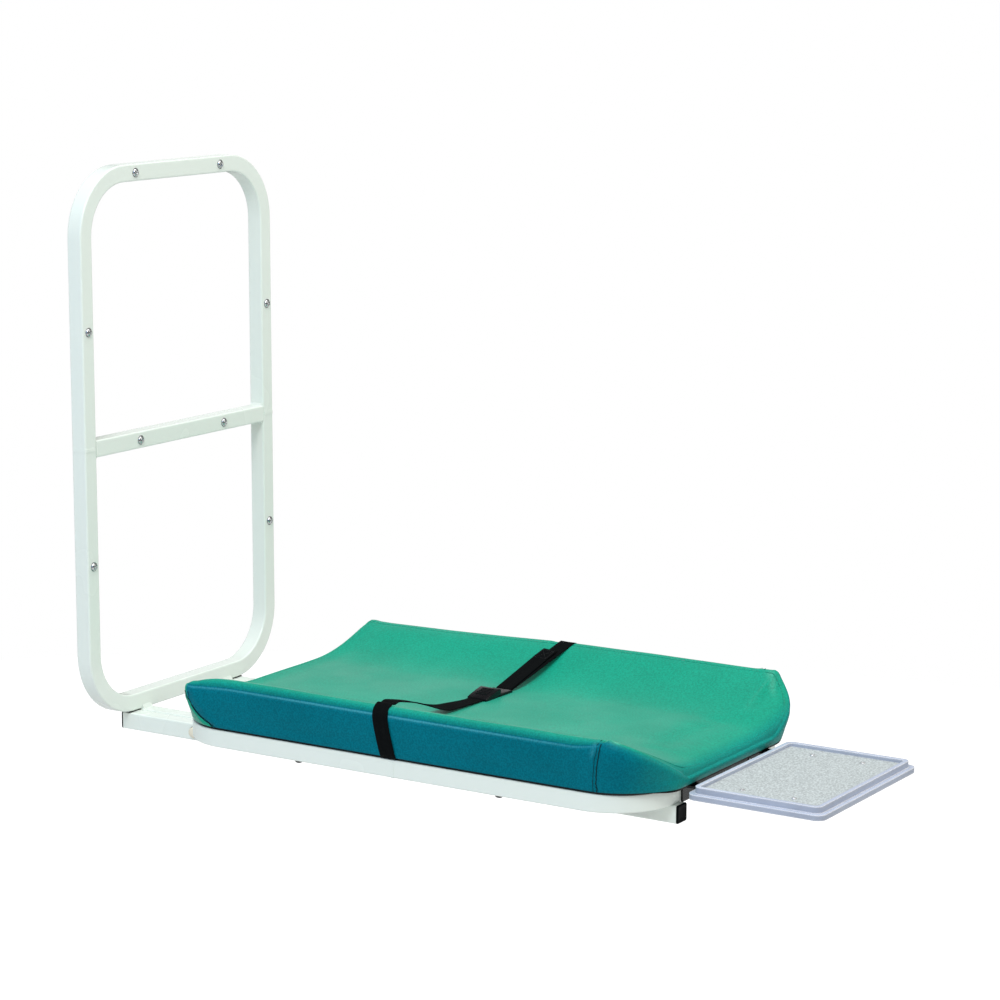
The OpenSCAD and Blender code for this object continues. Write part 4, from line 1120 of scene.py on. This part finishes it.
    @staticmethod
    def foot_shade_and_highlights(mesh, place, out, edges):
        """Black foot band, taller over the nose as painted shade; painted highlights under seams and on
        folds.
        """
        # Painted shade: over the nose the black band rises higher, where the foot rolls under
        front = np.clip(-out[:, 1] / np.maximum(np.hypot(out[:, 0], out[:, 1]), 1e-3), 0, 1) ** 6
        front *= place[:, 1] < LOW_FRONT * MM * 0.95
        height = EDGING + (NOSE_SHADE_BAND - EDGING) * front
        mark(mesh, "edging", past(height, height_mm(place) - LOW_Z + DROOP * front, 0.8))
        painted_glint = np.zeros(len(place))
        # Painted highlight: a paler line just below each crest's seam
        for edge in edges:
            away, share = near_line(place, edge)
            below = place[:, 2] < np.interp(place[:, 1], edge[:, 1], edge[:, 2]) - 0.8 * MM
            painted_glint = np.maximum(painted_glint, 0.45 * bell(away - 2.4 * MM, 1.2 * MM) * below * faded(share, 0.4))
        # Painted highlights along the listed folds
        for line, width, strength in HIGHLIGHT_FOLDS:
            for fold in mirrored(line):
                away, share = near_line(place, fold)
                painted_glint = np.maximum(painted_glint, strength * bell(away, width * MM) * faded(share, 0.7))
        mark(mesh, "rubbed", painted_glint)

    @staticmethod
    def welts(skin, seams):
        """A fine thread line along every seam."""
        for k, seam in enumerate(seams):
            line = draped(skin, even_line(seam, 2.5 * MM), 0.1 * MM)
            own = plain_mesh("seam_welt_%d" % k, line, edges=[(i, i + 1) for i in range(len(line) - 1)])
            run_tree(own, cord_tree, Radius=0.8 * MM, Finish=finish("seam"))
            own.data.shade_smooth()
            settle(own, PLATFORM, "mat_vinyl")


# Strap


STRAP_W, STRAP_T = 25 * MM, 1.6 * MM
BED_Z = FLOOR_Z + 0.3
SKEW = math.radians(1.4)
TONGUE_END = 68.0
# How the near half hangs from the crest to the buckle, [across, height]
NEAR_DRAPE = [(223.5, 102.2), (214, 103.6), (170, 93.5), (140, 84), (112, 74), (84, 66.5), (60, 64.5),
              (39, 63), (20, 61.8)]
# The band's upper side in section, as shares of half its width and of its thickness
SELVEDGE = [(-1, 0), (-0.985, 0.3), (-0.95, 0.46), (-0.88, 0.5), (-0.5, 0.47), (0, 0.46), (0.5, 0.47),
            (0.88, 0.5), (0.95, 0.46), (0.985, 0.3)]
# Where the strap runs along the mat, and how far its far half drifts forward, from where and over how far
STRAP_Y = RING_MIDDLE + 5
DRIFT, DRIFT_FROM, DRIFT_OVER = 11, 60, 165
TAIL_L, TAIL_IN = 126, 8
# Side views of the buckle's pieces from the strap's loop to the tongue's end, [along, up]
SOCKET = [(0, 0.4), (0, 4.6), (6, 6.4), (14, 8.8), (30, 12.4), (35, 13), (38, 11.4), (38, 0.4), (36, 0),
          (3, 0)]
TONGUE = [(30.3, 0.2), (30.3, 4.8), (66, 4.8), (TONGUE_END, 3.4), (TONGUE_END, 0.2)]
RIB = [(-0.7, 0), (-0.4, 0.9), (0.4, 0.9), (0.7, 0)]
BUCKLE_W, RIB_W = 33, 20
# The grip's slope and its five ribs
GRIP_SLOPE, GRIP_TURN = 0.225, math.radians(-12.7)
RIB_PLACES = [12 + 4.2 * k for k in range(5)]


def strap_y(x, z):
    """Where the strap lies along the mat, slanting down the walls to the loop under the board."""
    rise = min(1, max(0, (z - LOW_Z) / (CREST_Z - LOW_Z) + (1 if abs(x) < HALF_W - 1 else 0)))
    drift = DRIFT * max(0, x - DRIFT_FROM) / DRIFT_OVER
    return STRAP_Y + (2 - x * math.tan(SKEW) - drift) * (0 if z < LOW_Z else rise)


def band(name, centre, up, node):
    """A closed woven band along a centre line, with rounded selvedges and a UV map in metres."""
    profile = SELVEDGE + [(-s, -t) for s, t in SELVEDGE]
    across = unit(np.cross(up, unit(np.gradient(centre, axis=0))))
    across *= np.where(across[:, 1] < 0, -1, 1)[:, None]
    rings = [[c + a * s * STRAP_W / 2 + u * t * STRAP_T for s, t in profile]
             for c, a, u in zip(centre, across, up)]
    own = swept(name, rings, "webbing")
    run = run_along(centre)
    mesh = own.data
    weave = mesh.uv_layers.new(name="weave")
    n = len(profile)
    for loop in mesh.loops:
        v = loop.vertex_index
        weave.data[loop.index].uv = (run[min(v // n, len(run) - 1)], profile[v % n][0] * STRAP_W / 2)
    settle(own, PLATFORM, "webbing", node)


def across_up(centre, tilt=0.0):
    """The band's upward direction at each centre point: level across the mat, tilted over the near half."""
    level = np.tile([0.0, 1.0, 0.0], (len(centre), 1))
    hang = bell(centre[:, 0] / MM + 85, 45) * (height_mm(centre) > LOW_Z + 20)
    level[:, 2] = np.tan(math.radians(tilt)) * hang
    return unit(np.cross(level, unit(np.gradient(centre, axis=0))))


def strap_line(route, side):
    """A route across the mat, [across, height] in millimetres, as points in the part's frame every 3 mm."""
    return row_frame([(side * x, strap_y(side * x, z), z) for x, z in even_line(route, 3.0)])


def wall_route():
    """From under the board round the mat's lower edge and up its wall to just below the crest."""
    under = [(x, 25.1) for x in (0, 60, 120, 180, 205, 217)] + [(223, 25.3), (226.5, 26.6)]
    return under + [(HALF_W + LEAN * lean + 1.1, LOW_Z + (CREST_Z - LOW_Z) * height)
                    for height, lean in WALL_SHARES[1:-1]]


class StationStrap(bpy.types.Operator):
    """Makes the webbing and the buckle"""
    bl_idname = "station.strap"
    bl_label = "Safety strap"

    def execute(self, context):
        skin = surface_of(bpy.data.objects["padded_mat"].data)
        web = BED_Z + 1.7 + STRAP_T / MM / 2 + 0.3
        near = wall_route() + NEAR_DRAPE + [(0, web), (-8, web)]
        far = wall_route() + [(HALF_W * x, BED_Z + (CREST_Z - BED_Z) * z + 1.1)
                              for x, z in ((0.985, 1.012), (0.95, 1.0))]
        far += [(TONGUE_END + 8, web + 1.6), (TONGUE_END, web), (TONGUE_END - 8, web)]
        sizes = context.scene.station_sizes
        for name, node, route, side, held in (("webbing_near", "strap_near", near, -1, 12.0),
                                              ("webbing_far", "strap_far", far, 1, 75.0)):
            line = self.clear(strap_line(smooth_line(route, 14 * len(route)), side), skin, held * MM)
            up = -across_up(line) if side > 0 else across_up(line, 11)
            band(name, line, up, node)
            if side < 0:
                self.box_stitch("near_box_stitch", line, up, (-46, -18), sizes)
        a, b = np.array(far[-4]), np.array(far[-3])
        run = (a - b) / np.linalg.norm(a - b)
        up = np.array([-run[1], run[0]])
        tail = [b + run * (TAIL_L * k - TAIL_IN) + up * (2.2 + 0.8 * k ** 3)
                for k in (1, 0.8, 0.6, 0.4, 0.2, 0.0)]
        line = strap_line(smooth_line(tail, 60), 1)
        line[:, 1] += 6 * MM * way(line[:, 0] / MM, TONGUE_END, TONGUE_END + 100)
        up = across_up(line) * np.sign(across_up(line)[:, 2:3])
        band("webbing_tail", line, up, "strap_tail")
        end = line[:, 0].max() / MM
        self.box_stitch("tail_box_stitch", line, up, (end - 26, end - 4), sizes)
        self.buckle()
        return {"FINISHED"}

    @staticmethod
    def box_stitch(name, line, up, span, sizes):
        """A sewn box with a cross on a band's upper face, between two places across in millimetres."""
        across = unit(np.cross(up, np.gradient(line, axis=0)))
        order = np.argsort(line[:, 0])
        low, high, half = span[0] * MM, span[1] * MM, STRAP_W / 2 - 2.5 * MM

        def on_band(x, offset):
            centre, rise, side = (np.array([np.interp(x, line[order, 0], v[order, k]) for k in range(3)])
                                  for v in (line, up, across))
            return centre + rise * (STRAP_T * 0.5 + 0.1 * MM) + side * offset, rise

        corners = [(low, -half), (high, -half), (high, half), (low, half), (low, -half), (high, half),
                   (high, -half), (low, half)]
        for k, ((xa, oa), (xb, ob)) in enumerate(zip(corners[:-1], corners[1:])):
            if k == 5:
                # This side is sewn already
                continue
            run = [on_band(xa + (xb - xa) * t, oa + (ob - oa) * t) for t in np.linspace(0, 1, 12)]
            settle(stitch_run("%s_%d" % (name, k), *(np.array(part) for part in zip(*run)), "thread",
                              sizes.stitch * 0.8, sizes.thread), PLATFORM, "webbing")

    @staticmethod
    def clear(line, skin, middle):
        """Lifts the band's points off the mat where they would cut into it, except near the buckle."""
        gap = STRAP_T / 2 + 0.25 * MM
        moved = line.copy()
        for i, p in enumerate(line):
            if p[2] < (LOW_Z - MID_Z) * MM or abs(p[0]) < middle:
                continue
            place, normal, _, _ = skin.find_nearest(Vector(p))
            inside = (Vector(p) - place).dot(normal)
            if inside < gap:
                moved[i] = place + normal * gap
                moved[i][1] = p[1]
        for _ in range(3):
            moved[1:-1] = (moved[:-2] + 2 * moved[1:-1] + moved[2:]) / 4
        return moved

    @staticmethod
    def buckle():
        """The side-release buckle: a ribbed socket wedge and a flat tongue."""
        place = Matrix.Translation((0, strap_y(0, CREST_Z) * MM, (BED_Z - MID_Z) * MM))
        place = place @ Matrix.Rotation(-SKEW, 4, "Z")
        socket = side_extrusion("buckle_socket_body", SOCKET, BUCKLE_W, place)
        settle(rounded(socket, 0.9 * MM), PLATFORM, "black_plastic", "buckle_socket")
        ribs = [(place @ Vector((x * MM, 0, (8.55 + (x - 14) * GRIP_SLOPE) * MM)), (0, GRIP_TURN, -SKEW))
                for x in RIB_PLACES]
        grip = repeated("buckle_grip_ribs", side_extrusion("rib_shape", RIB, RIB_W, Matrix()), ribs, "acetal")
        settle(crisp(grip), PLATFORM, "black_plastic")
        tongue = side_extrusion("buckle_tongue_body", TONGUE, BUCKLE_W, place)
        settle(rounded(tongue, 0.7 * MM), PLATFORM, "black_plastic", "buckle_tongue")


def side_extrusion(name, points, width, place):
    """A buckle piece's side view in millimetres, [along, up], given a width and put in its place."""
    half, n = width * MM / 2, len(points)
    verts = [place @ Vector((x * MM, y, z * MM)) for y in (-half, half) for x, z in points]
    faces = [tuple(range(n)), tuple(n + i for i in reversed(range(n)))]
    faces += [(i, (i + 1) % n, n + (i + 1) % n, n + i) for i in range(n)]
    return new_piece(name, verts, faces, "acetal")


# Tray and board


class StationBoard(bpy.types.Operator):
    """Paints the board under the mat and the tray's bracket"""
    bl_idname = "station.board"
    bl_label = "Board and bracket"

    def execute(self, context):
        paint("board", "mat_board")
        paint("black_steel", "tray_bracket")
        return {"FINISHED"}


class StationTray(bpy.types.Operator):
    """Gives the moulded tray its lavender styrene and the liner its flecks"""
    bl_idname = "station.tray"
    bl_label = "Tray"

    def execute(self, context):
        paint("styrene", "tray")
        paint("liner", "tray_liner")
        return {"FINISHED"}


# Stage


CAMERA_PLACE = (-3.5565, -2.8250, 0.7187)
CAMERA_AZIMUTH, CAMERA_ELEVATION, CAMERA_ROLL = -57.78, 10.36, 0.07
CAMERA_LENS = 110.09
# The room's even light, and what glossy surfaces reflect of it
AMBIENT, GLOSS_ROOM = 0.62, 0.12
# Lamps: place and diameter in metres, watts and colour
LAMPS = {
    "key": ((-3.4, -1.6, 3.6), 1.6, 82.0, "#FFFBF4"),
    "fill": ((1.6, -4.2, 1.6), 3.0, 36.0, "#FCFFF6"),
    "left": ((-3.0, -0.2, 1.7), 2.2, 23.0, "#86C6FF"),
    "top": ((0.2, -0.8, 3.6), 3.0, 65.0, "#FFFFFF"),
    "rim": ((3.4, 1.8, 0.9), 1.8, 5.0, "#FFFFFF"),
}
LIT_PLACE = (0, -0.6, -0.2)
GROUND_R, GROUND_Z = 4.0, -1.28


class StationStage(bpy.types.Operator):
    """Sets the camera, the lamps and the floor"""
    bl_idname = "station.stage"
    bl_label = "Stage"

    def execute(self, context):
        scene = context.scene
        scene.view_settings.view_transform = "Standard"
        az, el, roll = (math.radians(v) for v in (CAMERA_AZIMUTH, CAMERA_ELEVATION, CAMERA_ROLL))
        right = Vector((math.cos(az), math.sin(az), 0))
        back = Vector((math.sin(az) * math.cos(el), -math.cos(az) * math.cos(el), math.sin(el)))
        turn = Matrix((right, back.cross(right), back)).transposed() @ Matrix.Rotation(roll, 3, "Z")
        data = bpy.data.cameras.new("camera")
        data.lens, data.sensor_width, data.clip_end = CAMERA_LENS, 36, 200
        scene.camera = placed("camera", data)
        scene.camera.matrix_world = Matrix.Translation(CAMERA_PLACE) @ turn.to_4x4()
        for name, (place, size, power, colour) in LAMPS.items():
            light = bpy.data.lights.new(name, "AREA")
            light.shape, light.size = "DISK", size
            light.energy, light.color = power, linear(colour)[:3]
            own = placed(name, light)
            own.location = place
            own.visible_camera = False
            own.rotation_euler = (Vector(LIT_PLACE) - Vector(place)).to_track_quat("-Z", "Y").to_euler()
        world = bpy.data.worlds.new("studio")
        world.use_nodes = True
        tree = world.node_tree
        tree.nodes.clear()
        path = add(tree, "ShaderNodeLightPath").outputs
        seen = maths(tree, "MAXIMUM", path["Is Camera Ray"], path["Is Transmission Ray"])
        dim = maths(tree, "MULTIPLY_ADD", path["Is Glossy Ray"], GLOSS_ROOM - AMBIENT, AMBIENT)
        light = add(tree, "ShaderNodeBackground", {"Color": (1, 1, 1, 1), "Strength": dim})
        shown = add(tree, "ShaderNodeBackground", {"Color": (1, 1, 1, 1), "Strength": 1.0})
        both = add(tree, "ShaderNodeMixShader", {0: seen, 1: light.outputs[0], 2: shown.outputs[0]})
        add(tree, "ShaderNodeOutputWorld", {"Surface": both.outputs[0]})
        scene.world = world
        self.floor()
        return {"FINISHED"}

    @staticmethod
    def floor():
        """A plain pale floor below the station that glows for the camera only and keeps its shadow."""
        mat, tree, shader, place = surface("Matt white floor", linear("#D8D8D8"), 0.9, Specular_IOR_Level=0.0)
        tint = ramp(tree, clouds(tree, place, 0.4, 3), linear("#D6D6D6"), linear("#DADADA"), (0.35, 0.65))
        wire(tree, shader, Base_Color=tint)
        dim = maths(tree, "MULTIPLY", add(tree, "ShaderNodeLightPath").outputs["Is Camera Ray"], 0.55)
        glow = add(tree, "ShaderNodeEmission", {"Color": (1, 1, 1, 1), "Strength": dim})
        both = add(tree, "ShaderNodeAddShader", {0: shader.outputs[0], 1: glow.outputs[0]})
        out = next(n for n in tree.nodes if n.type == "OUTPUT_MATERIAL")
        tree.links.new(both.outputs[0], out.inputs["Surface"])
        floor = plain_mesh("floor", [(x, y, GROUND_Z) for x, y in circle(GROUND_R, 96)], faces=[range(96)])
        floor.data.materials.append(mat)


class StationPanel(bpy.types.Panel):
    """Lists the station's pieces, sizes and colours"""
    bl_idname = "VIEW3D_PT_station"
    bl_label = "Changing station"
    bl_space_type = "VIEW_3D"
    bl_region_type = "UI"
    bl_category = "Station"

    def draw(self, context):
        for group in (context.scene.station_sizes, context.scene.station_finish):
            for name in group.__annotations__:
                self.layout.prop(group, name)
        for operator in OPERATORS:
            self.layout.operator(operator.bl_idname)


OPERATORS = (StationStage, StationTubes, StationBoard, StationFixings, StationTray, StationMat, StationStrap)
CLASSES = (StationFinish, StationSizes, *OPERATORS, StationPanel)


def register():
    """Registers the classes and puts the settings on the scene."""
    for kind in CLASSES:
        bpy.utils.register_class(kind)
    bpy.types.Scene.station_finish = bpy.props.PointerProperty(type=StationFinish)
    bpy.types.Scene.station_sizes = bpy.props.PointerProperty(type=StationSizes)


def unregister():
    """Takes the settings and the classes away."""
    del bpy.types.Scene.station_finish
    del bpy.types.Scene.station_sizes
    for kind in reversed(CLASSES):
        bpy.utils.unregister_class(kind)


def main():
    """Makes every piece."""
    register()
    bpy.ops.station.stage()
    bpy.ops.station.tubes()
    bpy.ops.station.board()
    bpy.ops.station.fixings()
    bpy.ops.station.tray()
    bpy.ops.station.mat()
    bpy.ops.station.strap()
    bpy.context.view_layer.update()


if __name__ == "__main__":
    main()
